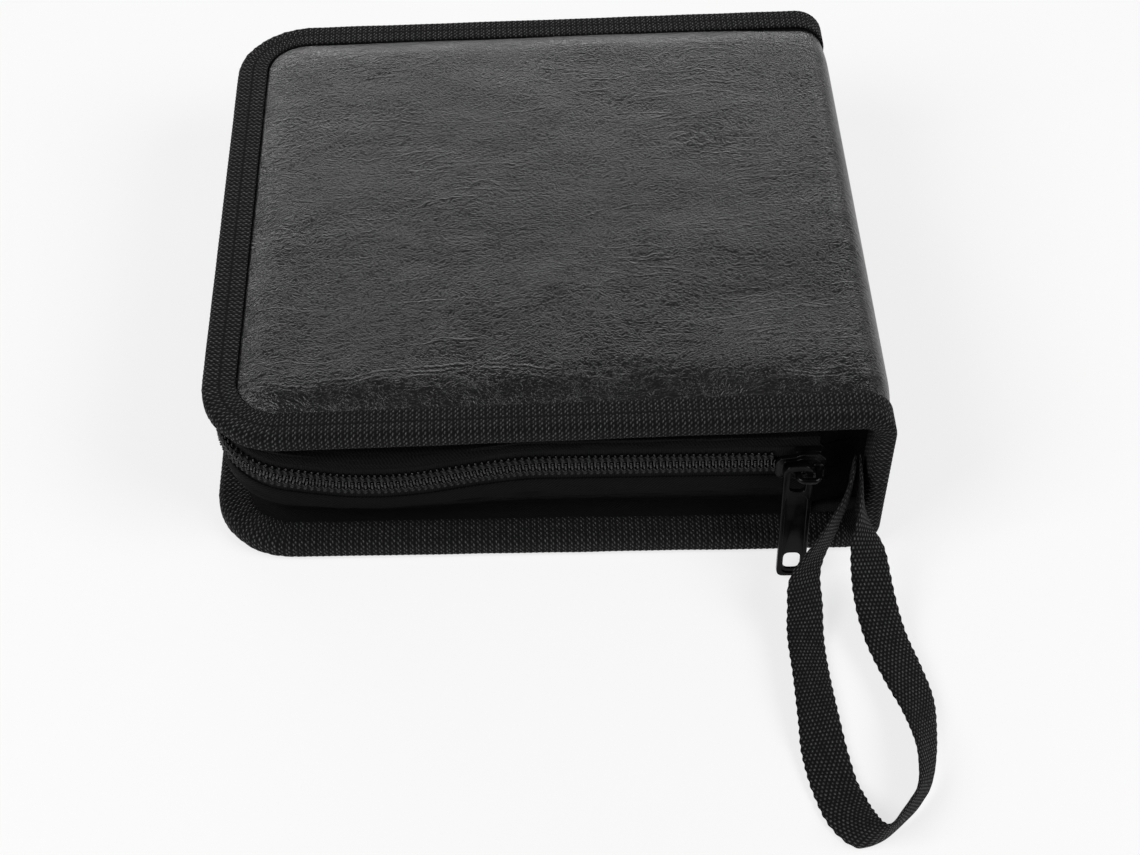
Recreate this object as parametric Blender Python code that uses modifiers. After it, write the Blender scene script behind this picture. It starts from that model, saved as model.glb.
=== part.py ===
"""A zipped wallet for forty discs, lying shut on its back with its wrist loop in front.

X runs from the opening edge to the spine, Y from front to back and Z up. The origin is on the
outer face of the back cover, under the middle of the case. The cover is one strip of padded
leather, folded round the pages in two mitred bends, with a bound edge and a zipped gusset.
Lengths are in metres.
"""

import math

import bmesh
import bpy
from mathutils import Matrix, Vector

# The case
WIDTH = 0.158
DEPTH = 0.152
SPINE_HEIGHT = 0.047
LID_FALL = math.radians(1.9)
CORNER_RADIUS = 0.019
FOLD_RADIUS = 0.008
MITRE = 0.0008
GAP = 0.0003

# The layers of the cover
LEATHER = 0.0009
BOARD = 0.0020
LINING = 0.0005
LID_CROWN = 0.0013
CROWN_WIDTH = 0.0070
CROWN_FADE = 0.0240
BOARD_MARGIN = 0.0117
SHOULDER = 0.0018

# The binding along the open edges
BINDING = 0.0009
FLANGE = 0.0080
BINDING_ROUND = 0.0011

# The gusset and the tapes that it carries
GUSSET = 0.0007
GUSSET_STANDOFF = 0.0009
GUSSET_TUCK = 0.0094
TAPE = 0.0005
TAPE_EDGE = 0.0015
STITCH_OVERLAP = 0.0038
LAP_SHARE = 0.12
GUSSET_INSET = 0.0032
GUSSET_END_RUN = 0.0170
GUSSET_END_GAP = 0.0020

# The zip
ZIP_BELOW_LID = 0.0177
COIL_HALF_WIDTH = 0.0032
COIL_THICKNESS = 0.00125
TOOTH_PITCH = 0.0042
TOOTH_REACH = 0.0007
FRONT_DIP = 0.0056
SIDE_DIP = 0.0012
REAR_DIP = 0.0030
DIP_HALF_LENGTH = 0.0400

# The slider and its pull tab
SLIDER_LENGTH = 0.0112
SLIDER_PLATE = 0.0011
SLIDER_CORNER = 0.0015
SLIDER_TAPER = 0.0009
SLIDER_LIP = 0.0009
SLIDER_LIP_LENGTH = 0.0058
SLIDER_LIP_END = 0.0012
SLIDER_END_GAP = 0.0155
SLIDER_CLEARANCE = 0.0003
SLIDER_NECK = 0.0036
POST_LENGTH = 0.0017
POST_WIDTH = 0.0022
BAIL_RADIUS = 0.0008
BAIL_BEND = 0.0013
BAIL_SPAN = 0.0047
BAIL_STANDOFF = 0.0041
TAB_WIDTH = 0.0068
TAB_THICKNESS = 0.0015
TAB_DROP = 0.0290
TAB_BAR = 0.0016
TAB_CUT = 0.0016
TAB_FOOT_RADIUS = 0.0019
TAB_WINDOW_WIDTH = 0.0036
TAB_WINDOW_DROP = 0.0045
TAB_RIM = 0.0011
TAB_PANEL_MARGIN = 0.0016
TAB_RECESS = 0.00035
TAB_SLOT_WIDTH = 0.0040
TAB_SLOT_HEIGHT = 0.0046
TAB_SLOT_FOOT = 0.0020
TAB_LEAN = math.radians(13)
TAB_STANDOFF = 0.0020

# The pages
SLEEVES = 20
SLEEVE = 0.00075
SLEEVE_PITCH = 0.00105
PAGE_OPENING_MARGIN = 0.0155
PAGE_SIDE_MARGIN = 0.0115
SLEEVE_CORNER = 0.006
THUMB_RADIUS = 0.012
PAGE_STRIP = 0.0006
PAGE_STRIP_LAP = 0.0045
SPINE_CLEARANCE = 0.0136

# The wrist loop
STRAP_WIDTH = 0.0105
STRAP = 0.0010
STRAP_ANCHOR_IN = 0.0078
STRAP_ANCHOR_FRONT = 0.0053

# How finely curves are divided
CORNER_STEPS = 6
WALL_STEP = 0.0085
FOLD_STEPS = 3
CROWN_STEPS = 3
STRAP_STEPS = 2

# Where each layer's middle lies inside the outer face, in the panels and under the binding
LEATHER_DEPTH = LEATHER / 2
BOARD_DEPTH = LEATHER + GAP + BOARD / 2
LINING_DEPTH = LEATHER + GAP + BOARD + GAP + LINING / 2
COVER_THICKNESS = LINING_DEPTH + LINING / 2
BINDING_DEPTH = BINDING / 2
LEATHER_EDGE_DEPTH = BINDING + GAP + LEATHER / 2
LINING_EDGE_DEPTH = LEATHER_EDGE_DEPTH + (LEATHER + LINING) / 2 + GAP
HEM_DEPTH = LINING_EDGE_DEPTH + (LINING + GUSSET) / 2 + GAP
FLANGE_DEPTH = HEM_DEPTH + (GUSSET + BINDING) / 2 + GAP
EDGE_HEIGHT = FLANGE_DEPTH + BINDING / 2
SEAM_INSET = BINDING + GAP

ZIP_HEIGHT = SPINE_HEIGHT - ZIP_BELOW_LID

# The way along the zip, from the front of the spine round the three open edges
STRAIGHT = WIDTH - CORNER_RADIUS
BEND = (CORNER_RADIUS - GUSSET_INSET) * math.pi / 2
SIDE = DEPTH - 2 * CORNER_RADIUS
HALF_WAY = STRAIGHT + BEND + SIDE / 2

# How far in from the edges the zip's layers and the slider's plates lie
TAPE_INSET = GUSSET_INSET + (GUSSET + TAPE) / 2 + GAP
COIL_INNER = TAPE_INSET - TAPE / 2 - GAP
COIL_OUTER = COIL_INNER - COIL_THICKNESS
SLIDER_FRONT = COIL_OUTER - SLIDER_CLEARANCE - SLIDER_PLATE
SLIDER_BACK = TAPE_INSET + TAPE / 2 + SLIDER_CLEARANCE
GUSSET_HALF_GAP = COIL_HALF_WIDTH + SLIDER_CLEARANCE + SLIDER_LIP + 2 * GAP
SLIDER_RIGHT = WIDTH / 2 - SLIDER_END_GAP
SLIDER_LEFT = SLIDER_RIGHT - SLIDER_LENGTH
POST_RIGHT = SLIDER_RIGHT - GAP * 2
POST_LEFT = POST_RIGHT - POST_LENGTH
BAIL_LEFT = SLIDER_RIGHT - BAIL_SPAN - 2 * BAIL_RADIUS
BAIL_Y = -DEPTH / 2 + SLIDER_FRONT - BAIL_STANDOFF
TAB_Y = -DEPTH / 2 + SLIDER_FRONT - TAB_STANDOFF
TAB_AXIS = Vector((BAIL_LEFT, TAB_Y, ZIP_HEIGHT))


def cleared_scene():
    for obj in list(bpy.data.objects):
        bpy.data.objects.remove(obj)


def new_collection(name):
    collection = bpy.data.collections.new(name)
    bpy.context.scene.collection.children.link(collection)
    return collection


def finish(name, colour, roughness, metallic=0.0):
    material = bpy.data.materials.new(name)
    material.use_nodes = True
    shader = material.node_tree.nodes["Principled BSDF"]
    shader.inputs["Base Color"].default_value = (*colour, 1.0)
    shader.inputs["Roughness"].default_value = roughness
    shader.inputs["Metallic"].default_value = metallic
    return material


def mesh_object(name, points, faces, material, collection):
    mesh = bpy.data.meshes.new(name)
    mesh.from_pydata([tuple(point) for point in points], [], faces)
    shape = bmesh.new()
    shape.from_mesh(mesh)
    bmesh.ops.recalc_face_normals(shape, faces=shape.faces)
    shape.to_mesh(mesh)
    shape.free()
    mesh.materials.append(material)
    obj = bpy.data.objects.new(name, mesh)
    collection.objects.link(obj)
    return obj


def loft_faces(rows, stations, closed=False):
    """Quads between neighbouring rows of a grid; closed joins the last row to the first, with caps."""
    faces = []
    for row in range(rows if closed else rows - 1):
        this, following = row * stations, (row + 1) % rows * stations
        for i in range(stations - 1):
            faces.append((this + i, this + i + 1, following + i + 1, following + i))
    if closed:
        faces.append([row * stations for row in range(rows)])
        faces.append([row * stations + stations - 1 for row in range(rows)])
    return faces


def thicken(obj, thickness):
    solidify = obj.modifiers.new("thickness", "SOLIDIFY")
    solidify.thickness = thickness
    solidify.offset = 0
    solidify.use_even_offset = True


def smooth_step(value):
    value = min(max(value, 0.0), 1.0)
    return value * value * (3 - 2 * value)


class Panel:
    """A flat cover and its share of the fold: a run from the opening edge and a depth give x and z."""

    def __init__(self, centre, facing, turn):
        self.centre = Vector(centre)
        self.facing = facing
        self.turn = turn
        outward = Vector((math.cos(facing), math.sin(facing)))
        edge_x = self.centre.x + FOLD_RADIUS * outward.x
        self.flat = (edge_x + WIDTH / 2) / abs(outward.y)
        self.end = self.flat + FOLD_RADIUS * abs(turn) - MITRE / 2

    def at(self, run, depth):
        over = run - self.flat
        angle = self.facing + math.copysign(max(over, 0) / FOLD_RADIUS, self.turn)
        outward = Vector((math.cos(angle), math.sin(angle)))
        along = Vector((-outward.y, outward.x)) * math.copysign(1, self.turn)
        return self.centre + outward * (FOLD_RADIUS - depth) + along * min(over, 0)

    def fold_axis(self):
        angle = self.facing + self.turn
        return self.centre + FOLD_RADIUS * Vector((math.cos(angle), math.sin(angle)))


LOWER_FOLD = Vector((WIDTH / 2 - FOLD_RADIUS, FOLD_RADIUS))
UPPER_FOLD = Vector((WIDTH / 2 - FOLD_RADIUS, SPINE_HEIGHT - FOLD_RADIUS))
UPPER_TURN = (math.pi / 2 + LID_FALL) / 2
BASE = Panel(LOWER_FOLD, -math.pi / 2, math.pi / 4)
LID = Panel(UPPER_FOLD, math.pi / 2 + LID_FALL, -UPPER_TURN)


def spine_columns():
    """Angles and fold centres down the spine, from the lower mitre to the upper one."""
    slack = MITRE / 2 / FOLD_RADIUS
    first, last = -math.pi / 4 + slack, UPPER_TURN - slack
    lower = [(LOWER_FOLD, first * (1 - i / FOLD_STEPS)) for i in range(FOLD_STEPS + 1)]
    upper = [(UPPER_FOLD, last * i / FOLD_STEPS) for i in range(FOLD_STEPS + 1)]
    return lower + upper


def edge_point(way, inset):
    """The run and y of a point, this way along the zip and this far in from the cover's edge."""
    side = -1 if way < HALF_WAY else 1
    way = min(way, 2 * HALF_WAY - way)
    if way <= STRAIGHT:
        return WIDTH - way, side * (DEPTH / 2 - inset)
    if way <= STRAIGHT + BEND:
        angle = (way - STRAIGHT) / BEND * math.pi / 2
        reach = CORNER_RADIUS - inset
        run = CORNER_RADIUS - reach * math.sin(angle)
        return run, side * (SIDE / 2 + reach * math.cos(angle))
    return inset, side * (HALF_WAY - way)


def mirrored_ways(front):
    """The stations of the front half, then the same ones back along the rear edge."""
    return front + [2 * HALF_WAY - way for way in reversed(front)]


def spaced(first, last, steps):
    return [first + (last - first) * i / steps for i in range(steps + 1)]


def arc(centre, radius, first, last, steps):
    """Points along an arc, with its angles in degrees."""
    return [
        (
            centre[0] + radius * math.cos(math.radians(angle)),
            centre[1] + radius * math.sin(math.radians(angle)),
        )
        for angle in spaced(first, last, steps)
    ]


def cover_ways(panel, folded):
    fold = spaced(WIDTH - panel.end, WIDTH - panel.flat, FOLD_STEPS)
    if not folded:
        fold = fold[-1:]
    level = spaced(WIDTH - panel.flat, WIDTH - panel.flat + CROWN_FADE, CROWN_STEPS)[1:]
    corner = spaced(STRAIGHT, STRAIGHT + BEND, CORNER_STEPS)
    return mirrored_ways(fold + level + corner)


def wall_ways(front_end, rear_end):
    """Stations of a soft wall, from its front end round to its rear one."""
    corner = spaced(STRAIGHT, STRAIGHT + BEND, CORNER_STEPS)[1:]
    side = spaced(STRAIGHT + BEND, HALF_WAY, round(SIDE / 4 / WALL_STEP))[1:-1]
    halves = []
    for end in (front_end, rear_end):
        straight = spaced(end, STRAIGHT, round((STRAIGHT - end) / WALL_STEP))
        halves.append(straight + corner + side)
    rear = [2 * HALF_WAY - way for way in reversed(halves[1])]
    return halves[0] + [HALF_WAY] + rear


def zip_height(way):
    """The height of the zip's middle line, which sags between the stiff corners."""

    def sag(centre, half_length):
        offset = abs(way - centre) / half_length
        return 0.5 * (1 + math.cos(math.pi * offset)) if offset < 1 else 0.0

    front = STRAIGHT - DIP_HALF_LENGTH / 2
    height = ZIP_HEIGHT - FRONT_DIP * sag(front, DIP_HALF_LENGTH)
    height -= SIDE_DIP * sag(HALF_WAY, SIDE / 2)
    return height - REAR_DIP * sag(2 * HALF_WAY - front, DIP_HALF_LENGTH)


def crown(panel, run, inset):
    """How far the padded lid stands proud of its binding; the back cover lies flat."""
    if panel is BASE:
        return 0.0
    from_edge = smooth_step((inset - BOARD_MARGIN) / CROWN_WIDTH)
    from_fold = smooth_step((panel.flat - run) / CROWN_FADE)
    return LID_CROWN * from_edge * from_fold


def cover_layer(
    name, panel, profile, thickness, material, collection, filled=True, folded=True
):
    """A layer of a cover: rows at each inset and depth of the profile, closed across the middle.

    A folded layer goes on into the fold; a stiff one ends where the cover's flat face does.
    """
    ways = cover_ways(panel, folded)
    count = len(ways)
    points = []
    for inset, depth in profile:
        for way in ways:
            run, y = edge_point(way, inset)
            x, z = panel.at(run, depth - crown(panel, run, inset))
            points.append((x, y, z))
    faces = loft_faces(len(profile), count)
    if filled:
        inner = (len(profile) - 1) * count
        straight = CROWN_STEPS + 1 + (FOLD_STEPS if folded else 0)
        for i in range(straight):
            far = inner + count - 1 - i
            faces.append((inner + i, inner + i + 1, far - 1, far))
        faces.append(list(range(inner + straight, inner + count - straight)))
    obj = mesh_object(name, points, faces, material, collection)
    thicken(obj, thickness)
    return obj


def spine_layer(name, profile, thickness, material, collection):
    """A layer of the spine: the profile gives y and depth across it, swept round both folds."""
    columns = spine_columns()
    points = []
    for y, depth in profile:
        for centre, angle in columns:
            outward = Vector((math.cos(angle), math.sin(angle)))
            x, z = centre + outward * (FOLD_RADIUS - depth)
            points.append((x, y, z))
    faces = loft_faces(len(profile), len(columns))
    obj = mesh_object(name, points, faces, material, collection)
    thicken(obj, thickness)
    return obj


def leather_profile():
    margin = FLANGE + GAP
    rows = [(SEAM_INSET, LEATHER_EDGE_DEPTH), (margin, LEATHER_EDGE_DEPTH)]
    rows += [(margin + SHOULDER, LEATHER_DEPTH)]
    return rows + [(BOARD_MARGIN + CROWN_WIDTH * part, LEATHER_DEPTH) for part in (0.5, 1.0)]


def board_profile():
    return [(BOARD_MARGIN, BOARD_DEPTH), (BOARD_MARGIN + CROWN_WIDTH, BOARD_DEPTH)]


def lining_profile():
    margin = GUSSET_TUCK + GUSSET / 2
    rows = [(SEAM_INSET, LINING_EDGE_DEPTH), (margin, LINING_EDGE_DEPTH)]
    return rows + [(BOARD_MARGIN - GAP, LINING_DEPTH), (BOARD_MARGIN + CROWN_WIDTH, LINING_DEPTH)]


def binding_profile():
    """The bound edge in section: the outer flange, the rounded edge and the inner flange."""
    centre = BINDING / 2 + BINDING_ROUND
    outer = arc((centre, BINDING_DEPTH + BINDING_ROUND), BINDING_ROUND, 270, 180, 2)
    inner = arc((centre, FLANGE_DEPTH - BINDING_ROUND), BINDING_ROUND, 180, 90, 2)
    return [(FLANGE, BINDING_DEPTH)] + outer + inner + [(FLANGE, FLANGE_DEPTH)]


def mirrored_across(profile):
    """A spine profile from a cover's: y and depth, from the front edge to the rear one."""
    front = [(inset - DEPTH / 2, depth) for inset, depth in profile]
    return front + [(-y, depth) for y, depth in reversed(front)]


def build_covers(looks, parts):
    for name, panel in (("base", BASE), ("lid", LID)):
        cover_layer(name + "_leather", panel, leather_profile(), LEATHER, looks["leather"], parts)
        cover_layer(
            name + "_board", panel, board_profile(), BOARD, looks["board"], parts, folded=False
        )
        cover_layer(name + "_lining", panel, lining_profile(), LINING, looks["lining"], parts)
        cover_layer(
            name + "_binding", panel, binding_profile(), BINDING, looks["binding"], parts, False
        )


def build_spine(looks, parts):
    leather = mirrored_across(leather_profile()[:3])
    lining = mirrored_across(lining_profile()[:3])
    spine_layer("spine_leather", leather, LEATHER, looks["leather"], parts)
    spine_layer("spine_lining", lining, LINING, looks["lining"], parts)
    for name, side in (("spine_binding_front", 1), ("spine_binding_rear", -1)):
        profile = [((inset - DEPTH / 2) * side, depth) for inset, depth in binding_profile()]
        spine_layer(name, profile, BINDING, looks["binding"], parts)
    height = UPPER_FOLD.y - LOWER_FOLD.y
    board = box("spine_board", BOARD, DEPTH - 2 * BOARD_MARGIN, height, looks["board"], parts)
    board.location = (WIDTH / 2 - BOARD_DEPTH, 0, LOWER_FOLD.y + height / 2)


def box(name, x_size, y_size, z_size, material, collection):
    shape = bmesh.new()
    bmesh.ops.create_cube(shape, size=1)
    bmesh.ops.scale(shape, vec=(x_size, y_size, z_size), verts=shape.verts)
    mesh = bpy.data.meshes.new(name)
    shape.to_mesh(mesh)
    shape.free()
    mesh.materials.append(material)
    obj = bpy.data.objects.new(name, mesh)
    collection.objects.link(obj)
    return obj


def wall_sheet(name, ways, section, thickness, material, collection):
    """A soft wall along the open edges; section gives the points of its cross-section at a way."""
    sections = [section(way) for way in ways]
    rows = len(sections[0])
    points = [sections[i][row] for row in range(rows) for i in range(len(ways))]
    obj = mesh_object(name, points, loft_faces(rows, len(ways)), material, collection)
    thicken(obj, thickness)
    return obj


def free_point(way, inset, height):
    run, y = edge_point(way, inset)
    return run - WIDTH / 2, y, height


def sewn_point(panel, way, inset):
    run, y = edge_point(way, inset)
    x, z = panel.at(run, HEM_DEPTH)
    return x, y, z


def flange_height(panel, way):
    """The height of the binding's inner face, where the gusset comes out."""
    run, _ = edge_point(way, FLANGE)
    return panel.at(run, EDGE_HEIGHT).y


# The gusset's cross-section: shares of its rise to the zip, each with its share of the tuck
GUSSET_SHAPE = ((0.0, 1.0), (0.25, 1.0), (0.5, 0.45), (0.72, 0.0), (1.0, 0.0))


def gusset_section(panel):
    """From the hem in the binding, out past the flange, and along to the zip."""
    toward = 1 if panel is BASE else -1

    def section(way):
        start = flange_height(panel, way) + toward * 2 * GAP
        end = zip_height(way) - toward * GUSSET_HALF_GAP
        rise = end - start
        bulge = GUSSET_TUCK - GUSSET_INSET
        walls = [
            free_point(way, GUSSET_INSET + bulge * tuck, start + rise * up)
            for up, tuck in GUSSET_SHAPE
        ]
        turn = FLANGE + GUSSET_STANDOFF
        hem = [sewn_point(panel, way, inset) for inset in (SEAM_INSET + GAP, turn)]
        return hem + walls

    return section


def tape_section(panel):
    toward = 1 if panel is BASE else -1

    def section(way):
        near = zip_height(way) - toward * TAPE_EDGE
        end = zip_height(way) - toward * GUSSET_HALF_GAP
        room = abs(end - flange_height(panel, way))
        lap = min(STITCH_OVERLAP, room * LAP_SHARE)
        far = end - toward * lap
        return [free_point(way, TAPE_INSET, near), free_point(way, TAPE_INSET, far)]

    return section


def coil_row(name, panel, front_end, rear_end, material, collection):
    """One row of the zip: a strip on its tape with pointed teeth that reach between the other's."""
    toward = 1 if panel is BASE else -1
    step = TOOTH_PITCH / 2
    before = math.floor((HALF_WAY - front_end) / step)
    beyond = math.floor((HALF_WAY - rear_end) / step)
    places = range(-before, beyond + 1)
    ways = [HALF_WAY + place * step for place in places]
    points = []
    corners = (("back", COIL_OUTER), ("back", COIL_INNER), ("tooth", COIL_INNER), ("tooth", COIL_OUTER))
    for kind, inset in corners:
        for place, way in zip(places, ways):
            middle = zip_height(way)
            if kind == "back":
                height = middle - toward * COIL_HALF_WIDTH
            else:
                height = middle + TOOTH_REACH * (1 if place % 2 else -1) - toward * GAP / 2
            points.append(free_point(way, inset, height))
    faces = loft_faces(len(corners), len(ways), closed=True)
    return mesh_object(name, points, faces, material, collection)


def build_zip(looks, parts):
    before_slider = WIDTH / 2 - SLIDER_LEFT + 2 * GAP
    before_post = WIDTH / 2 - POST_LEFT + GAP
    for name, panel in (("base", BASE), ("lid", LID)):
        ways = wall_ways(GUSSET_END_RUN, GUSSET_END_RUN)
        section = gusset_section(panel)
        wall_sheet(name + "_gusset", ways, section, GUSSET, looks["gusset"], parts)
    rows = (
        ("lower", BASE, GUSSET_END_RUN, before_post),
        ("upper", LID, before_slider, before_slider),
    )
    for name, panel, tape_end, coil_end in rows:
        ways = wall_ways(tape_end, GUSSET_END_RUN)
        section = tape_section(panel)
        wall_sheet(name + "_zip_tape", ways, section, TAPE, looks["tape"], parts)
        coil_row(name + "_zip_coil", panel, coil_end, GUSSET_END_RUN, looks["coil"], parts)


def build_gusset_ends(looks, parts):
    """The folded ends of the gusset, sewn into the spine's binding in front and behind."""
    low = LOWER_FOLD.y + GAP
    high = UPPER_FOLD.y - GAP
    left = WIDTH / 2 - GUSSET_END_RUN + GUSSET_END_GAP
    flange_x = WIDTH / 2 - EDGE_HEIGHT - 2 * GAP
    hem_x = WIDTH / 2 - HEM_DEPTH
    section = [
        (hem_x, SEAM_INSET + GAP),
        (hem_x, FLANGE + GUSSET_STANDOFF),
        (flange_x, GUSSET_TUCK),
        ((flange_x + left) / 2, (GUSSET_TUCK + GUSSET_INSET) / 2),
        (left, GUSSET_INSET),
    ]
    for name, side in (("gusset_end_front", -1), ("gusset_end_rear", 1)):
        points = []
        for x, inset in section:
            points += [(x, side * (DEPTH / 2 - inset), z) for z in (low, high)]
        faces = loft_faces(len(section), 2)
        thicken(mesh_object(name, points, faces, looks["gusset"], parts), GUSSET)


def curve_as_mesh(name, curve, places, closed, collection):
    """A mesh object from a curve along the places, with its caps welded on."""
    spline = curve.splines.new("POLY")
    spline.points.add(len(places) - 1)
    for point, place in zip(spline.points, places):
        point.co = (*place, 1)
    spline.use_cyclic_u = closed
    drawn = bpy.data.objects.new(name, curve)
    bpy.context.scene.collection.objects.link(drawn)
    bpy.context.view_layer.update()
    evaluated = drawn.evaluated_get(bpy.context.evaluated_depsgraph_get())
    mesh = bpy.data.meshes.new_from_object(evaluated)
    bpy.data.objects.remove(drawn)
    shape = bmesh.new()
    shape.from_mesh(mesh)
    bmesh.ops.remove_doubles(shape, verts=shape.verts, dist=1e-6)
    bmesh.ops.recalc_face_normals(shape, faces=shape.faces)
    shape.to_mesh(mesh)
    shape.free()
    obj = bpy.data.objects.new(name, mesh)
    collection.objects.link(obj)
    return obj


def flat_outline(name, outline, thickness, collection):
    """A flat plate from its outline in X and Y, centred on its middle plane."""
    curve = bpy.data.curves.new(name, "CURVE")
    curve.dimensions = "2D"
    curve.fill_mode = "BOTH"
    curve.extrude = thickness / 2
    places = [(x, y, 0) for x, y in outline]
    return curve_as_mesh(name, curve, places, True, collection)


def tube(name, route, radius, collection):
    curve = bpy.data.curves.new(name, "CURVE")
    curve.dimensions = "3D"
    curve.bevel_depth = radius
    curve.bevel_resolution = 2
    curve.use_fill_caps = True
    return curve_as_mesh(name, curve, route, False, collection)


def build_sleeves(looks, parts):
    """Twenty pages with a thumb notch, stacked in the strip that holds their sewn edges."""
    right = WIDTH / 2 - SPINE_CLEARANCE - PAGE_STRIP - GAP
    left = PAGE_OPENING_MARGIN - WIDTH / 2
    half = DEPTH / 2 - PAGE_SIDE_MARGIN
    corner = SLEEVE_CORNER
    outline = [(right, -half), (right, half)]
    outline += arc((left + corner, half - corner), corner, 90, 180, 2)
    outline += arc((left, 0), THUMB_RADIUS, 90, -90, 6)
    outline += arc((left + corner, corner - half), corner, 180, 270, 2)
    floor = COVER_THICKNESS + GAP + PAGE_STRIP + GAP
    first = flat_outline("sleeve_01", outline, SLEEVE, parts)
    first.data.materials.append(looks["sleeve"])
    first.location.z = floor + SLEEVE / 2
    for i in range(1, SLEEVES):
        page = bpy.data.objects.new(f"sleeve_{i + 1:02d}", first.data)
        page.location.z = floor + SLEEVE / 2 + SLEEVE_PITCH * i
        parts.objects.link(page)
    top = floor + SLEEVE_PITCH * (SLEEVES - 1) + SLEEVE
    lap = right - PAGE_STRIP_LAP
    back = right + GAP + PAGE_STRIP / 2
    low = floor - GAP - PAGE_STRIP / 2
    high = top + GAP + PAGE_STRIP / 2
    section = [(lap, low), (back, low), (back, high), (lap, high)]
    points = [(x, y, z) for x, z in section for y in (-half, half)]
    strip = mesh_object("page_strip", points, loft_faces(4, 2), looks["lining"], parts)
    thicken(strip, PAGE_STRIP)


def keep_helper(obj, cutters):
    for collection in list(obj.users_collection):
        collection.objects.unlink(obj)
    cutters.objects.link(obj)
    obj.hide_render = True
    obj.display_type = "WIRE"
    return obj


def boolean(obj, operation, other):
    cut = obj.modifiers.new(other.name, "BOOLEAN")
    cut.operation = operation
    cut.object = other
    cut.solver = "EXACT"


def plate_outline(half_width):
    """The slider's plate: a wide mouth toward the spine and a narrower neck toward the teeth."""
    end = SLIDER_LENGTH / 2
    corner = SLIDER_CORNER
    upper = [(-end, SLIDER_NECK - corner), (SLIDER_TAPER - end, SLIDER_NECK), (0.0, half_width)]
    upper += [(end - corner, half_width), (end, half_width - corner)]
    return upper + [(x, -y) for x, y in reversed(upper)]


def build_slider(looks, parts, cutters):
    """Two plates joined by a post at the mouth, lips along the coil, and a bail for the tab."""
    middle = (SLIDER_LEFT + SLIDER_RIGHT) / 2
    front = -DEPTH / 2 + SLIDER_FRONT
    back = -DEPTH / 2 + SLIDER_BACK
    half_width = COIL_HALF_WIDTH + SLIDER_CLEARANCE + SLIDER_LIP
    upright = Matrix.Rotation(math.pi / 2, 4, "X")

    def plate(name, y, collection):
        obj = flat_outline(name, plate_outline(half_width), SLIDER_PLATE, collection)
        obj.matrix_world = Matrix.Translation((middle, y, ZIP_HEIGHT)) @ upright
        return obj

    body = plate("slider_body", front + SLIDER_PLATE / 2, parts)
    body.data.materials.append(looks["metal"])
    inner = plate("slider_inner_plate", back + SLIDER_PLATE / 2, parts)
    depth = back - front - SLIDER_PLATE + 2 * GAP
    post = box("slider_post", POST_LENGTH, depth, POST_WIDTH, looks["metal"], parts)
    post.location = ((POST_LEFT + POST_RIGHT) / 2, (front + back + SLIDER_PLATE) / 2, ZIP_HEIGHT)
    lip_depth = COIL_THICKNESS + SLIDER_CLEARANCE + GAP
    joined = [inner, post]
    for name, side in (("upper", 1), ("lower", -1)):
        lip = box(name + "_lip", SLIDER_LIP_LENGTH, lip_depth, SLIDER_LIP, looks["metal"], parts)
        lip.location.x = SLIDER_RIGHT - SLIDER_LIP_END - SLIDER_LIP_LENGTH / 2
        lip.location.y = front + SLIDER_PLATE - GAP + lip_depth / 2
        lip.location.z = ZIP_HEIGHT + side * (half_width - SLIDER_LIP / 2)
        joined.append(lip)
    right = BAIL_LEFT + BAIL_SPAN
    root = front + SLIDER_PLATE / 2
    turn = BAIL_Y + BAIL_BEND
    route = [(BAIL_LEFT, root)] + arc((BAIL_LEFT + BAIL_BEND, turn), BAIL_BEND, 180, 270, 2)
    route += arc((right - BAIL_BEND, turn), BAIL_BEND, 270, 360, 2) + [(right, root)]
    joined.append(tube("bail", [(x, y, ZIP_HEIGHT) for x, y in route], BAIL_RADIUS, parts))
    for piece in joined:
        boolean(body, "UNION", keep_helper(piece, cutters))


def tab_outline():
    """The pull tab hanging from the bail at its origin: cut top corners and a rounded foot."""
    half = TAB_WIDTH / 2
    top = BAIL_RADIUS + GAP + TAB_BAR
    cut = TAB_CUT
    foot = TAB_FOOT_RADIUS
    outline = [(-half, top - cut), (cut - half, top), (half - cut, top), (half, top - cut)]
    outline += arc((half - foot, foot - TAB_DROP), foot, 0, -90, 3)
    return outline + arc((foot - half, foot - TAB_DROP), foot, -90, -180, 3)


def build_tab(looks, parts, cutters):
    """A flat tab with a window over the bail, a shallow recess in each face and a slot at its foot."""
    hang = bpy.data.objects.new("tab_axis", None)
    parts.objects.link(hang)
    hang.location = TAB_AXIS
    hang.rotation_euler = (math.pi / 2 - TAB_LEAN, 0, 0)
    tab = flat_outline("pull_tab", tab_outline(), TAB_THICKNESS, parts)
    tab.data.materials.append(looks["metal"])
    tab.parent = hang
    eye_top = BAIL_RADIUS + GAP
    eye_height = eye_top + TAB_WINDOW_DROP
    window = box("tab_window", TAB_WINDOW_WIDTH, eye_height, 2 * TAB_THICKNESS, looks["metal"], parts)
    window.parent = hang
    window.location.y = eye_top - eye_height / 2
    boolean(tab, "DIFFERENCE", keep_helper(window, cutters))
    panel_top = -TAB_WINDOW_DROP - TAB_PANEL_MARGIN
    panel_foot = TAB_PANEL_MARGIN - TAB_DROP
    for name, side in (("front_recess", 1), ("rear_recess", -1)):
        height = panel_top - panel_foot
        width = TAB_WIDTH - 2 * TAB_RIM
        recess = box(name, width, height, 2 * TAB_RECESS, looks["metal"], parts)
        recess.parent = hang
        recess.location = (0, (panel_top + panel_foot) / 2, side * TAB_THICKNESS / 2)
        boolean(tab, "DIFFERENCE", keep_helper(recess, cutters))
    slot = box("tab_slot", TAB_SLOT_WIDTH, TAB_SLOT_HEIGHT, 2 * TAB_THICKNESS, looks["metal"], parts)
    slot.parent = hang
    slot.location.y = TAB_SLOT_FOOT - TAB_DROP + TAB_SLOT_HEIGHT / 2
    boolean(tab, "DIFFERENCE", keep_helper(slot, cutters))


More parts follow.
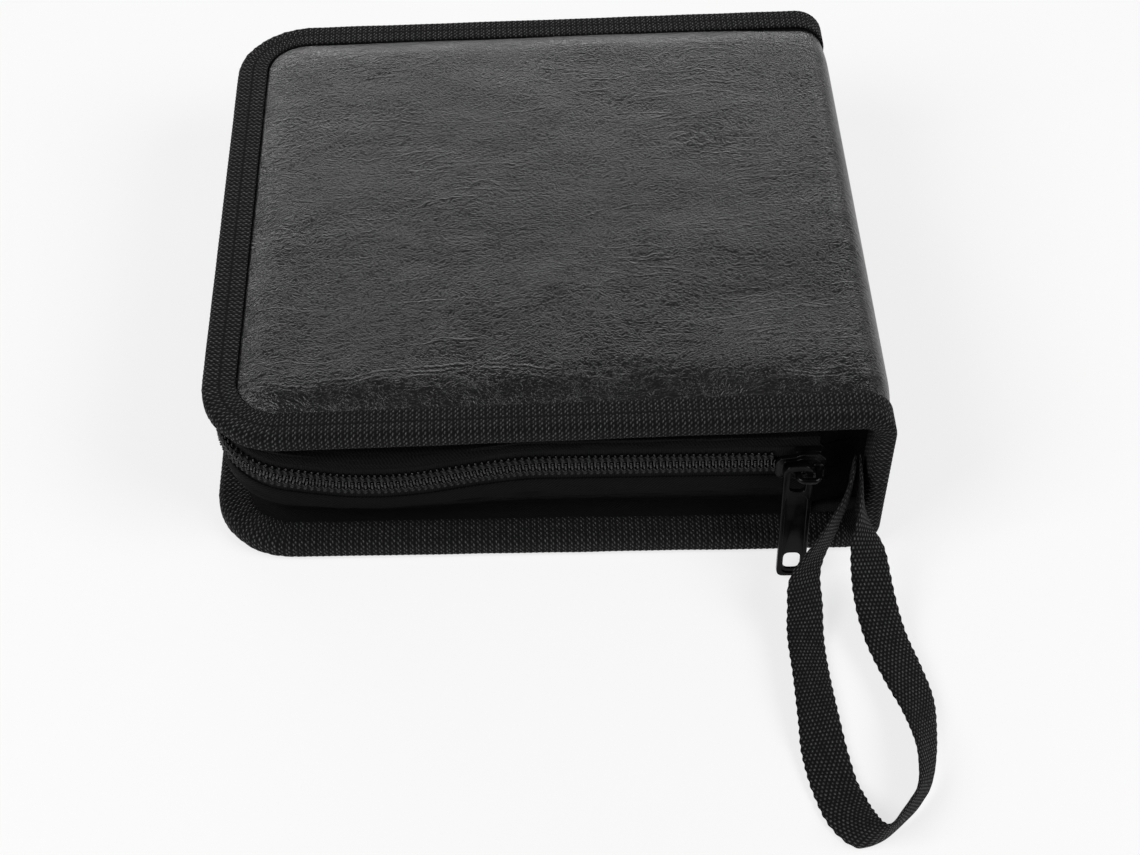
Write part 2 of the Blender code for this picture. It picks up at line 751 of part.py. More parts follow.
# The loop's route from its anchor: forward and sideways from it, height above the table, and the
# direction across the band from its first edge to its second.
STRAP_ROUTE = (
    ((0.0000, 0.0000, 0.0240), (0.00, 0.10, -0.99)),
    ((-0.0015, -0.0060, 0.0225), (0.15, 0.48, -0.86)),
    ((-0.0060, -0.0130, 0.0175), (0.45, 0.62, -0.64)),
    ((-0.0120, -0.0205, 0.0115), (0.76, 0.51, -0.39)),
    ((-0.0125, -0.0270, 0.0062), (0.86, 0.40, -0.32)),
    ((-0.0128, -0.0340, 0.0035), (0.87, 0.27, -0.40)),
    ((-0.0126, -0.0440, 0.0031), (0.86, 0.30, -0.38)),
    ((-0.0122, -0.0550, 0.0024), (0.92, 0.30, -0.22)),
    ((-0.0118, -0.0625, 0.0014), (0.98, 0.14, -0.08)),
    ((-0.0108, -0.0705, 0.0012), (1.00, 0.00, 0.02)),
    ((-0.0098, -0.0750, 0.0016), (0.98, 0.02, 0.18)),
    ((-0.0087, -0.0797, 0.0026), (0.92, 0.02, 0.40)),
    ((-0.0071, -0.0840, 0.0041), (0.71, 0.05, 0.70)),
    ((-0.0050, -0.0868, 0.0052), (0.44, 0.04, 0.90)),
    ((-0.0022, -0.0866, 0.0056), (0.12, -0.16, 0.98)),
    ((0.0005, -0.0847, 0.0056), (-0.18, -0.36, 0.91)),
    ((0.0033, -0.0817, 0.0054), (-0.36, -0.42, 0.83)),
    ((0.0058, -0.0785, 0.0054), (-0.42, -0.46, 0.78)),
    ((0.0080, -0.0752, 0.0054), (-0.46, -0.50, 0.74)),
    ((0.0096, -0.0695, 0.0053), (-0.54, -0.60, 0.60)),
    ((0.0104, -0.0625, 0.0050), (-0.61, -0.56, 0.53)),
    ((0.0102, -0.0530, 0.0038), (-0.78, -0.52, 0.31)),
    ((0.0080, -0.0435, 0.0034), (-0.90, -0.42, 0.14)),
    ((0.0054, -0.0340, 0.0042), (-0.96, -0.24, 0.13)),
    ((0.0036, -0.0250, 0.0078), (-0.96, -0.18, 0.20)),
    ((0.0026, -0.0165, 0.0135), (-0.86, -0.34, 0.38)),
    ((0.0019, -0.0110, 0.0182), (-0.42, -0.45, 0.79)),
    ((0.0012, -0.0055, 0.0222), (-0.08, -0.30, 0.95)),
    ((0.0013, 0.0008, 0.0240), (0.00, -0.10, 0.99)),
)


def curve_through(points, steps):
    """Points on a smooth curve through the given ones."""
    path = []
    count = len(points)
    for i in range(count - 1):
        before = points[max(i - 1, 0)]
        start, end = points[i], points[i + 1]
        after = points[min(i + 2, count - 1)]
        for step in range(steps):
            t = step / steps
            path.append(
                0.5
                * (
                    2 * start
                    + (end - before) * t
                    + (2 * before - 5 * start + 4 * end - after) * t**2
                    + (3 * start - before - 3 * end + after) * t**3
                )
            )
    return path + [points[-1]]


def build_strap(looks, parts):
    """The wrist loop, a flat band sewn by both ends into the gusset beside the spine."""
    anchor = Vector((WIDTH / 2 - STRAP_ANCHOR_IN, STRAP_ANCHOR_FRONT - DEPTH / 2, 0))
    centres = curve_through([anchor + Vector(place) for place, _ in STRAP_ROUTE], STRAP_STEPS)
    across = curve_through([Vector(way).normalized() for _, way in STRAP_ROUTE], STRAP_STEPS)
    rows = []
    for share in (-0.5, 0.0, 0.5):
        offsets = [way.normalized() * STRAP_WIDTH * share for way in across]
        rows.append([centre + offset for centre, offset in zip(centres, offsets)])
    points = [point for row in rows for point in row]
    faces = loft_faces(len(rows), len(centres))
    strap = mesh_object("wrist_strap", points, faces, looks["webbing"], parts)
    thicken(strap, STRAP)


def main():
    cleared_scene()
    parts = new_collection("cd_storage_case")
    cutters = new_collection("cutters")
    looks = {
        "leather": finish("leather", (0.050, 0.050, 0.053), 0.55),
        "board": finish("board", (0.30, 0.27, 0.22), 0.9),
        "lining": finish("lining", (0.035, 0.035, 0.038), 0.9),
        "binding": finish("binding", (0.014, 0.014, 0.016), 0.75),
        "gusset": finish("gusset", (0.012, 0.012, 0.014), 0.85),
        "tape": finish("zip_tape", (0.016, 0.016, 0.018), 0.8),
        "coil": finish("zip_coil", (0.010, 0.010, 0.011), 0.3),
        "metal": finish("black_metal", (0.020, 0.020, 0.022), 0.35, 0.6),
        "sleeve": finish("sleeve", (0.62, 0.62, 0.64), 0.6),
        "webbing": finish("webbing", (0.013, 0.013, 0.015), 0.8),
    }
    build_covers(looks, parts)
    build_spine(looks, parts)
    build_zip(looks, parts)
    build_gusset_ends(looks, parts)
    build_sleeves(looks, parts)
    build_slider(looks, parts, cutters)
    build_tab(looks, parts, cutters)
    build_strap(looks, parts)
    bpy.context.view_layer.update()


main()
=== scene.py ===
"""The looks of a zipped disc wallet: padded leather covers, woven binding, coil zip and wrist loop.

Lengths are in metres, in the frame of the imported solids: X from the opening edge to the spine,
Y from front to back and Z up. UV coordinates are in millimetres of cloth or leather.
"""

import math

import bmesh
import bpy
import numpy as np
from mathutils import Matrix, Vector


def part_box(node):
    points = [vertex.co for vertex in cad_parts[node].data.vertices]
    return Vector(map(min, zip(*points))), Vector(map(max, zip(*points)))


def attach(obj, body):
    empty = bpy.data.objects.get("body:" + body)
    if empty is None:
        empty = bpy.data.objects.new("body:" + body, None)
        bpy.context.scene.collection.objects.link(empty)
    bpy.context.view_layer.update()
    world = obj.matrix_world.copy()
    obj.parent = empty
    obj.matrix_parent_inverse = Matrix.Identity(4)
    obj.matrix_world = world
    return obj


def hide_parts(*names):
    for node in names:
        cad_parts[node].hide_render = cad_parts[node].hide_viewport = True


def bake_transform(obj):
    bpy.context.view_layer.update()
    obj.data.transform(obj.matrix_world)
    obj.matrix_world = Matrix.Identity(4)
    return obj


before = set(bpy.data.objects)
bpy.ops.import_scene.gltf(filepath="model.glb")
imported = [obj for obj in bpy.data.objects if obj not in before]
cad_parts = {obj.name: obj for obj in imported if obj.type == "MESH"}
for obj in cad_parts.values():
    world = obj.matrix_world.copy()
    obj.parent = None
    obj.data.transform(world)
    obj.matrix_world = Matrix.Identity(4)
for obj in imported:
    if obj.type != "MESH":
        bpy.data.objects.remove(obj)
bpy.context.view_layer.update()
MM = 0.001

# The case, with the sizes of its solids
WIDTH = 0.158
DEPTH = 0.152
SPINE_HEIGHT = 0.047
LID_FALL = math.radians(1.9)
CORNER_RADIUS = 0.019
FOLD_RADIUS = 0.008
GUSSET_INSET = 0.0032

# The cover, from the outside in
COVER_INSET = 0.0014
LID_CROWN = 0.0018
ROLL_OFF = 0.0105
CROWN_FADE = 0.0300
PANEL_MARGIN = 0.0072
EDGE_SINK = 0.0011
LINING_FACE = 0.0040
LINING_EDGE_FACE = 0.0029
LINING_RIPPLE = 0.00012
COVER_SWELL = 0.00022
COVER_DIMPLE = 0.00010
LEATHER_GRAIN = 0.00019
FRONT_CREASES = (-0.0588, -0.0602, -0.0613)
CREASE_WANDER = 0.0130

# The binding
FLANGE = 0.0080
EDGE_HEIGHT = 0.0051
BINDING = 0.0009
BINDING_ROUND = 0.0019
FLANGE_DOME = 0.00018
RIB = 0.00145
RIB_HEIGHT = 0.00006
GROOVE_INSET = 0.0042
GROOVE_WIDTH = 0.0006
GROOVE_DEPTH = 0.00014
BINDING_GROOVES = (FLANGE - GROOVE_INSET,)
CORNER_LEAD = 0.004
CORNER_FADE = 0.006
CORNER_GATHER = 0.00012
BINDING_PUCKER = 0.00006
BINDING_CLEARANCE = 0.00002

# The zip
ZIP_HEIGHT = 0.0293
FRONT_DIP = 0.0056
SIDE_DIP = 0.0012
REAR_DIP = 0.0030
DIP_HALF_LENGTH = 0.0400
COIL_PITCH = 0.0015
COIL_WIRE = 0.00027
COIL_MIDDLE = 0.00115
COIL_REACH = 0.00175
COIL_CREST = 0.0004
COIL_FACE = 0.00062
COIL_SEAMS = ((0.00232, 0.00015, 0.34), (0.00160, 0.00009, 0.55))
COIL_INSET = 0.00290
LOWER_COIL_START = 0.0167
UPPER_COIL_START = 0.0273
SEAM_SWAY = 0.00022
COIL_STEPS = 16
SEWING = (0.00120, 0.00235)
SEWING_DEPTH = 0.00012
TAPE_INSET = 0.0041
TAPE_CLOTH_DEPTH = 0.0004
TAPE_SPAN = (0.0009, 0.0075)
TAPE_WAVE = 0.00008
TAPE_STEP = 0.0012
SLIDER_LEFT = 0.0523
SLIDER_RIGHT = 0.0635
ZIP_END_WAY = 0.0170
GUSSET_TUCK = 0.0094
GUSSET_HALF_GAP = 0.0050
GUSSET_CREASE = 0.00055
GUSSET_CLOTH = 0.0004
GUSSET_STEP = 0.0011
END_GAP = 0.0003
END_PLEAT = 0.0009
END_PLEAT_LENGTH = 0.0042
END_TUCK = 0.0016
END_SECTION = (
    (0.0036, 0.0021),
    (0.0036, 0.0080),
    (0.0062, 0.0098),
    (0.0110, 0.0090),
    (0.0170, 0.0074),
    (0.0240, 0.0070),
)

# The way round the open edges, from the front of the spine
STRAIGHT = WIDTH - CORNER_RADIUS
BEND = (CORNER_RADIUS - GUSSET_INSET) * math.pi / 2
SIDE = DEPTH - 2 * CORNER_RADIUS
HALF_WAY = STRAIGHT + BEND + SIDE / 2

# The pages
SLEEVES = 20
SLEEVE_CORNER = 0.006
SLEEVE_SEAM_ROW = 0.0615
SLEEVE_SKIN = 0.00055
THUMB_RADIUS = 0.012
STRIP_CLOTH = 0.0005
STRIP_BEND = 0.0011
PAGE_SWELL = 0.00009
PAGE_RIPPLE = 0.00012


class Panel:
    """A cover with its fold and half of the spine: a run from the opening edge gives x and z."""

    def __init__(self, centre, facing, turn):
        self.centre = np.array(centre)
        self.facing = facing
        self.turn = turn
        edge_x = centre[0] + FOLD_RADIUS * math.cos(facing)
        self.flat = (edge_x + WIDTH / 2) / abs(math.sin(facing))
        self.arc = FOLD_RADIUS * abs(turn)
        self.end = self.flat + self.arc + SPINE_HEIGHT / 2 - FOLD_RADIUS

    def at(self, run, depth):
        """Arrays of x and z at this run and this depth below the outer face."""
        over = run - self.flat
        sign = math.copysign(1, self.turn)
        angle = self.facing + sign * np.clip(over, 0, self.arc) / FOLD_RADIUS
        level = np.minimum(over, 0) + np.maximum(over - self.arc, 0)
        x = self.centre[0] + np.cos(angle) * (FOLD_RADIUS - depth) - np.sin(angle) * sign * level
        z = self.centre[1] + np.sin(angle) * (FOLD_RADIUS - depth) + np.cos(angle) * sign * level
        return x, z


BASE = Panel((WIDTH / 2 - FOLD_RADIUS, FOLD_RADIUS), -math.pi / 2, math.pi / 2)
LID = Panel(
    (WIDTH / 2 - FOLD_RADIUS, SPINE_HEIGHT - FOLD_RADIUS),
    math.pi / 2 + LID_FALL,
    -math.pi / 2 - LID_FALL,
)
FOLDS = {
    "base": (BASE, ("base", "spine"), (0.071, 0, 0), (0.079, 0, 0.008)),
    "lid": (LID, ("spine", "lid"), (0.079, 0, 0.039), (0.0707, 0, 0.0470)),
}


def smooth_step(value):
    value = np.clip(value, 0, 1)
    return value * value * (3 - 2 * value)


def edge_point(way, inset):
    """Run and y of points this way along the open edges and this far in from them."""
    way = np.asarray(way, float)
    side = np.where(way < HALF_WAY, -1.0, 1.0)
    half = np.minimum(way, 2 * HALF_WAY - way)
    angle = np.clip((half - STRAIGHT) / BEND, 0, 1) * math.pi / 2
    reach = CORNER_RADIUS - inset
    run = np.where(half <= STRAIGHT, WIDTH - half, CORNER_RADIUS - reach * np.sin(angle))
    y = SIDE / 2 + reach * np.cos(angle)
    y = np.where(half <= STRAIGHT, DEPTH / 2 - inset, y)
    y = np.where(half > STRAIGHT + BEND, HALF_WAY - half, y)
    run = np.where(half > STRAIGHT + BEND, inset, run)
    return run, side * y


def zip_height(way):
    """The height of the zip's middle line, which sags between the stiff corners."""

    def sag(centre, half_length):
        offset = np.clip(np.abs(way - centre) / half_length, 0, 1)
        return 0.5 * (1 + np.cos(math.pi * offset))

    front = STRAIGHT - DIP_HALF_LENGTH / 2
    height = ZIP_HEIGHT - FRONT_DIP * sag(front, DIP_HALF_LENGTH)
    height = height - SIDE_DIP * sag(HALF_WAY, SIDE / 2)
    return height - REAR_DIP * sag(2 * HALF_WAY - front, DIP_HALF_LENGTH)


def from_edge(run, y):
    """How far points of a cover lie in from its bound edge."""
    reach_x = CORNER_RADIUS - run
    reach_y = np.abs(y) - SIDE / 2
    corner = CORNER_RADIUS - np.hypot(np.maximum(reach_x, 0), np.maximum(reach_y, 0))
    straight = np.minimum(run, DEPTH / 2 - np.abs(y))
    return np.where((reach_x > 0) & (reach_y > 0), corner, straight)


def soft_noise(x, y, size, seed):
    """Smooth noise between -1 and 1 from a few waves of about this size."""
    random = np.random.default_rng(seed)
    total = np.zeros(np.broadcast(x, y).shape)
    for _ in range(9):
        angle = random.uniform(0, 2 * math.pi)
        rate = 2 * math.pi / size * random.uniform(0.6, 1.6)
        phase = random.uniform(0, 2 * math.pi)
        total += np.sin(rate * (x * math.cos(angle) + y * math.sin(angle)) + phase)
    return total / 5


def points_at(x, y, z):
    """Points from coordinates that may each be an array or one number."""
    return np.stack(np.broadcast_arrays(x, y, z), axis=-1)


def resampled(values, places, wanted):
    """Rows of values that stand at these places, read off at the wanted ones."""
    return np.stack([np.interp(wanted, places, column) for column in values.T], axis=1)


def linked(name, data):
    obj = bpy.data.objects.new(name, data)
    bpy.context.scene.collection.objects.link(obj)
    return obj


def held(obj, body, slot, *nodes):
    """Carries a piece on its body and hides the solids that it replaces. Its slot argument is not used."""
    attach(obj, body)
    if nodes:
        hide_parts(*nodes)


def grid_mesh(name, points, uvs, material, closed=False, flip=False):
    """A smooth mesh from a grid of points with UVs; closed joins its last row to its first."""
    rows, columns = points.shape[:2]
    last = rows if closed else rows - 1
    i, j = np.meshgrid(np.arange(last), np.arange(columns - 1), indexing="ij")
    below = (i + 1) % rows
    corners = [(i, i, j), (i, i, j + 1), (below, i + 1, j + 1), (below, i + 1, j)]
    if flip:
        corners.reverse()
    faces = np.stack([row * columns + column for row, _, column in corners], axis=-1)
    loops = np.stack([uvs[uv_row, column] for _, uv_row, column in corners], axis=-2)
    mesh = bpy.data.meshes.new(name)
    mesh.from_pydata(points.reshape(-1, 3).tolist(), [], faces.reshape(-1, 4).tolist())
    layer = mesh.uv_layers.new(name="UVMap")
    layer.data.foreach_set("uv", (loops / MM).astype(np.float32).ravel())
    mesh.shade_smooth()
    mesh.materials.append(material)
    return linked(name, mesh)


def sections_mesh(name, sections, along, across, material, closed=False, flip=False):
    """A grid mesh from cross-sections (rows across, columns along) with their UV lengths."""
    uvs = np.stack(np.broadcast_arrays(along[None, :], across[:, None]), axis=-1)
    return grid_mesh(name, np.array(sections), uvs, material, closed, flip)


def lengths(path):
    """Distances along a chain of points, from its start."""
    steps = np.linalg.norm(np.diff(path, axis=0), axis=1)
    return np.concatenate([[0], np.cumsum(steps)])


class Shader:
    """A Principled material whose node maths is written as calls."""

    def __init__(self, name, roughness=0.6, specular=0.5):
        self.material = bpy.data.materials.new(name)
        self.material.use_nodes = True
        self.tree = self.material.node_tree
        self.nodes = self.tree.nodes
        self.shader = self.nodes["Principled BSDF"]
        self.set("Roughness", roughness)
        self.set("Specular IOR Level", specular)
        separate = self.nodes.new("ShaderNodeSeparateXYZ")
        self.uv = self.nodes.new("ShaderNodeUVMap").outputs[0]
        self.link(self.uv, separate.inputs[0])
        self.u, self.v = separate.outputs[0], separate.outputs[1]

    def link(self, output, socket):
        self.tree.links.new(output, socket)

    def put(self, socket, value):
        """Links a socket to an output, or sets its value."""
        if isinstance(value, bpy.types.NodeSocket):
            self.link(value, socket)
        else:
            socket.default_value = value

    def set(self, name, value):
        self.put(self.shader.inputs[name], value)

    def node(self, kind, **values):
        """A new node with its named inputs linked or set."""
        node = self.nodes.new("ShaderNode" + kind)
        for name, value in values.items():
            self.put(node.inputs[name], value)
        return node

    def plug(self, node, values):
        for socket, value in zip(node.inputs, values):
            self.put(socket, value)
        return node.outputs[0]

    def math(self, operation, *values, clamp=False):
        node = self.nodes.new("ShaderNodeMath")
        node.operation = operation
        node.use_clamp = clamp
        return self.plug(node, values)

    def times(self, a, b):
        return self.math("MULTIPLY", a, b)

    def plus(self, a, b):
        return self.math("ADD", a, b)

    def minus(self, a, b):
        return self.math("SUBTRACT", a, b)

    def apart(self, a, b):
        return self.math("ABSOLUTE", self.minus(a, b))

    def wave(self, value, rate):
        """The sine of a value times its rate in radians."""
        return self.math("SINE", self.times(value, rate))

    def ridges(self, value):
        """Rounded ridges, one for each whole step of a value."""
        return self.math("ABSOLUTE", self.wave(value, math.pi))

    def scaled(self, x_rate, y_rate, offset=0.0, vector=None):
        """The UV or another vector with its own rate along each axis, in cycles a millimetre."""
        shift = (offset, offset * 0.7, 0.0)
        rates = (x_rate, y_rate, 1.0)
        return self.node("Mapping", Vector=vector or self.uv, Location=shift, Scale=rates).outputs[0]

    def warped(self, vector, rate, reach):
        """The vector pushed about by a slow noise: its rate in cycles and its reach in millimetres."""
        noise = self.node("TexNoise", Vector=vector, Scale=rate, Detail=1.0)
        push = self.nodes.new("ShaderNodeVectorMath")
        push.operation = "MULTIPLY_ADD"
        return self.plug(push, (noise.outputs["Color"], (reach, reach, 0.0), vector))

    def noise(self, vector, scale=1.0, detail=2.0, rough=0.5):
        node = self.node("TexNoise", Vector=vector, Scale=scale, Detail=detail, Roughness=rough)
        return node.outputs[0]

    def cells(self, vector):
        node = self.node("TexVoronoi", Vector=vector, Scale=1.0)
        node.feature = "SMOOTH_F1"
        return node.outputs["Distance"]

    def between(self, value, low, high, start=0.0, end=1.0):
        """Maps a value linearly from low..high to start..end, clamped."""
        return self.plug(self.node("MapRange"), (value, low, high, start, end))

    def paint(self, factor, low, high):
        """Mixes two near-greys, each given as its red and green level and its blue level."""
        node = self.nodes.new("ShaderNodeMix")
        node.data_type = "RGBA"
        self.link(factor, node.inputs["Factor"])
        node.inputs["A"].default_value = (low[0], *low, 1.0)
        node.inputs["B"].default_value = (high[0], *high, 1.0)
        self.set("Base Color", node.outputs["Result"])

    def bump(self, height, distance, strength=1.0, normal=None):
        """Height in 0..1 times this distance in metres, as a normal."""
        node = self.node("Bump", Strength=strength, Distance=distance, Height=height)
        if normal is not None:
            self.link(normal, node.inputs["Normal"])
        return node.outputs[0]

    def weave(self, row_pitch, dot_pitch, pairing, slant, narrow):
        """Staggered oval floats of thread, in rows across the band: a height and a cell noise.

        Pairing draws every two rows together, so that they read as one zigzag column, and slant
        leans each float.
        """
        row = self.math("DIVIDE", self.u, row_pitch)
        row = self.plus(row, self.times(self.wave(row, math.pi), -pairing))
        index = self.math("FLOOR", row)
        shift = self.times(self.math("MODULO", self.math("ABSOLUTE", index), 2.0), 0.5)
        lean = self.times(self.minus(self.minus(row, index), 0.5), slant)
        dot = self.plus(self.math("DIVIDE", self.v, dot_pitch), self.plus(shift, lean))
        crest = self.ridges(row)
        ridge = self.ridges(dot)
        height = self.times(self.math("POWER", crest, 0.9), self.math("POWER", ridge, narrow))
        cell = self.node("CombineXYZ", X=index, Y=self.math("FLOOR", dot))
        white = self.node("TexWhiteNoise")
        white.noise_dimensions = "2D"
        self.link(cell.outputs[0], white.inputs["Vector"])
        return height, white.outputs["Value"]


def leather_look():
    """Imitation leather: a wrinkled pebble grain whose direction wanders, with bands of soft creases."""
    look = Shader("leather", roughness=0.4, specular=0.5)
    drift = look.warped(look.uv, 0.028, 13.0)
    drift = look.warped(drift, 0.30, 1.6)

    def wrinkles(x_rate, y_rate, offset, width, detail=2.0):
        """Thin valleys, 1 at their bottom, where a stretched noise crosses its middle level."""
        flow = look.noise(look.scaled(x_rate, y_rate, offset, drift), 1.0, detail, 0.55)
        return look.between(look.apart(flow, 0.5), 0.0, width, 1.0, 0.0)

    pebble = look.cells(look.scaled(1.05, 1.35, 0.0, drift))
    fine = look.noise(look.scaled(1.5, 1.9, 9.0, drift), detail=2.0, rough=0.6)
    cracks = wrinkles(0.85, 1.25, 4.0, 0.11)
    spread = look.noise(look.scaled(0.030, 0.055, 17.0), detail=2.0)
    folds = look.times(wrinkles(0.16, 0.42, 2.0, 0.040, 2.0), look.between(spread, 0.54, 0.66))
    long_folds = look.times(wrinkles(0.022, 0.075, 13.0, 0.016, 3.0), look.between(spread, 0.44, 0.58))
    grain = look.plus(look.times(pebble, 0.42), look.times(fine, 0.30))
    sunk = look.plus(look.times(cracks, 0.30), look.times(folds, 0.34))
    sunk = look.plus(sunk, look.times(long_folds, 0.42))
    wander = look.minus(look.noise(look.scaled(0.035, 0.0, 41.0), detail=3.0), 0.5)
    across = look.plus(look.v, look.times(wander, -CREASE_WANDER / MM))
    for i, place in enumerate(FRONT_CREASES):
        line = look.between(look.apart(across, place / MM), 0.1, 0.5, 1.0, 0.0)
        breaks = look.noise(look.scaled(0.07, 0.0, 7.0 * i + 3.0), detail=1.0)
        broken = look.between(breaks, 0.42, 0.55)
        sunk = look.plus(sunk, look.times(look.times(line, broken), 0.45))
    normal = look.bump(look.minus(grain, sunk), LEATHER_GRAIN)
    swell = look.noise(look.scaled(0.03, 0.05, 5.0), detail=2.0)
    look.set("Normal", look.bump(swell, 0.0016, 0.5, normal))
    # Painted highlight and shade: the colour is lighter on the grain's tops and darker in the cracks, folds
    # and crease lines.
    wear_and_shade = look.between(look.minus(look.plus(grain, 0.12), look.times(sunk, 0.6)), 0.0, 0.8)
    look.paint(wear_and_shade, (0.0016, 0.0019), (0.0062, 0.0067))
    look.set("Roughness", look.between(look.plus(fine, look.times(sunk, 0.5)), 0.2, 0.9, 0.26, 0.34))
    return look.material


def cloth_look(
    name, rows, low, high, roughness, depth, sharp=3.0, narrow=1.3, pairing=0.0, slant=0.0, grooves=()
):
    """Woven cloth: rows of thread floats, each thread with its own tone, under a fine fibre noise; the
    floats' crests are painted lighter as a painted highlight and the gaps between them darker as painted
    shade.
    """
    look = Shader(name, roughness=roughness, specular=0.22)
    height, thread = look.weave(*rows, pairing, slant, narrow)
    for groove in grooves:
        away = look.apart(look.v, groove / MM)
        height = look.times(height, look.between(away, 0.12, 0.42, 0.25))
    fibre = look.noise(look.scaled(3.2, 3.2), detail=2.0)
    # Painted highlight and shade: the colour is lighter on the floats' crests and darker in the gaps and
    # along the grooves, with each thread's own tone and the fibre noise.
    lit = look.times(look.math("POWER", height, sharp), look.between(thread, 0.0, 1.0, 0.35, 1.0))
    lit = look.times(lit, look.between(fibre, 0.3, 0.7, 0.75, 1.15))
    look.paint(lit, low, high)
    look.set("Normal", look.bump(look.plus(height, look.times(fibre, 0.15)), depth))
    look.set("Roughness", look.between(height, 0.3, 1.0, 0.95, roughness))
    return look.material


def twill_look():
    look = Shader("gusset_twill", roughness=0.8, specular=0.06)
    diagonal = look.wave(look.plus(look.u, look.times(look.v, 1.6)), 7.4)
    thread = look.wave(look.minus(look.v, look.times(look.u, 0.5)), 15.0)
    height = look.plus(look.times(diagonal, 0.5), look.times(thread, 0.15))
    fibre = look.noise(look.scaled(5.0, 5.0), detail=3.0)
    height = look.plus(height, look.times(fibre, 0.4))
    # Painted highlight and shade: the colour is lighter on the twill's diagonal ridges and darker between
    # them, with the fibre noise as the cloth's own tone.
    lit = look.between(height, -0.4, 0.9)
    look.paint(lit, (0.0015, 0.0018), (0.0075, 0.008))
    look.set("Normal", look.bump(height, 0.00009))
    return look.material


def coil_look():
    look = Shader("nylon_coil", roughness=0.2, specular=0.5)
    wear = look.noise(look.scaled(1.5, 1.5), detail=2.0)
    look.paint(wear, (0.0015, 0.0018), (0.004, 0.0043))
    look.set("Roughness", look.between(wear, 0.3, 0.7, 0.16, 0.26))
    return look.material


def thread_look():
    look = Shader("stitch_thread", roughness=0.5, specular=0.2)
    twist = look.wave(look.plus(look.u, look.times(look.v, 1.5)), 22.0)
    height = look.between(twist, -1.0, 1.0)
    # Painted highlight and shade: the thread's colour is lighter on the ridges of its twist and darker in
    # its grooves.
    look.paint(height, (0.002, 0.0023), (0.040, 0.042))
    look.set("Normal", look.bump(height, 0.00004))
    return look.material


def sewing_shade_look():
    """The threads sewn over the coil's legs: a dark band that also stands in as painted shade over the
    recessed legs, with one slanted float a tooth painted lighter as a painted glint.
    """
    look = Shader("coil_sewing_shade", roughness=0.6, specular=0.08)
    turn = look.plus(look.math("DIVIDE", look.u, COIL_PITCH / MM), look.times(look.v, 0.75))
    wave = look.ridges(turn)
    float_line = look.math("POWER", wave, 14.0)
    fibre = look.noise(look.scaled(4.0, 4.0), detail=2.0)
    # Painted glint: each slanted float is lighter, on a band kept near black as painted shade.
    lit = look.times(float_line, look.between(fibre, 0.3, 0.7, 0.6, 1.1))
    look.paint(lit, (0.0006, 0.0008), (0.060, 0.062))
    look.set("Normal", look.bump(look.plus(wave, look.times(fibre, 0.2)), 0.00018))
    return look.material


def metal_look():
    """Satin black enamel on a die casting, a little rubbed, with the faint orange peel of its coat."""
    look = Shader("black_metal", roughness=0.25, specular=0.13)
    coordinates = look.nodes.new("ShaderNodeTexCoord")
    peel = look.noise(coordinates.outputs["Object"], 700.0, 2.0, 0.5)
    rub = look.noise(coordinates.outputs["Object"], 260.0, 2.0)
    wear_and_shade = look.between(rub, 0.35, 0.75)
    look.paint(wear_and_shade, (0.001, 0.0012), (0.0035, 0.0038))
    look.set("Roughness", look.between(rub, 0.3, 0.7, 0.19, 0.27))
    look.set("Normal", look.bump(peel, 0.000006))
    return look.material


def sleeve_look():
    """A disc page: clear film with a soft gloss over white fleece, sealed by narrow dotted seams."""
    look = Shader("disc_page", roughness=0.5, specular=0.45)
    ball = look.cells(look.scaled(1.1, 1.1))
    fibre = look.noise(look.scaled(0.9, 2.4, 6.0), detail=4.0, rough=0.65)
    away = look.math("ABSOLUTE", look.v)
    seam = look.between(look.apart(away, SLEEVE_SEAM_ROW / MM), 0.9, 1.3, 1.0, 0.0)
    stitch = look.between(look.wave(look.u, 4.4), -0.2, 0.5)
    sealed = look.times(seam, stitch)
    film = look.between(away, SLEEVE_SEAM_ROW / MM - 1.2, SLEEVE_SEAM_ROW / MM, 1.0, 0.0)
    height = look.plus(look.times(ball, 0.3), look.times(fibre, 0.4))
    height = look.minus(height, look.times(sealed, 0.8))
    tone = look.minus(look.plus(0.55, look.times(fibre, 0.5)), look.times(sealed, 0.45))
    tone = look.math("ADD", tone, 0.0, clamp=True)
    look.paint(tone, (0.42, 0.44), (0.72, 0.73))
    look.set("Normal", look.bump(height, 0.00008))
    look.set("Roughness", look.between(look.plus(film, look.times(fibre, 0.2)), 0.2, 1.1, 0.8, 0.28))
    return look.material


LEATHER = leather_look()
# The cloths' black, taken nearly to nothing so that the gaps between floats carry painted shade.
BLACK_GAP_SHADE = (0.0008, 0.0010)
TAPE_CLOTH = cloth_look(
    "binding_tape",
    (RIB / MM / 2, 1.35),
    BLACK_GAP_SHADE,
    (0.105, 0.108),
    0.45,
    0.00040,
    sharp=2.2,
    narrow=1.9,
    pairing=0.23,
    slant=-0.30,
    grooves=BINDING_GROOVES,
)
ZIP_CLOTH = cloth_look("zip_tape", (0.5, 0.45), (0.002, 0.0025), (0.012, 0.0125), 0.7, 0.00006)
WEBBING = cloth_look("webbing", (0.95, 1.0), BLACK_GAP_SHADE, (0.092, 0.095), 0.45, 0.00040, sharp=2.2, narrow=1.9)
LINING = cloth_look("lining_cloth", (0.55, 0.5), (0.012, 0.013), (0.034, 0.036), 0.8, 0.00005, sharp=1.5)
TWILL = twill_look()
COIL = coil_look()
THREAD = thread_look()
SEWING_SHADE_CLOTH = sewing_shade_look()
METAL = metal_look()
FLEECE = sleeve_look()


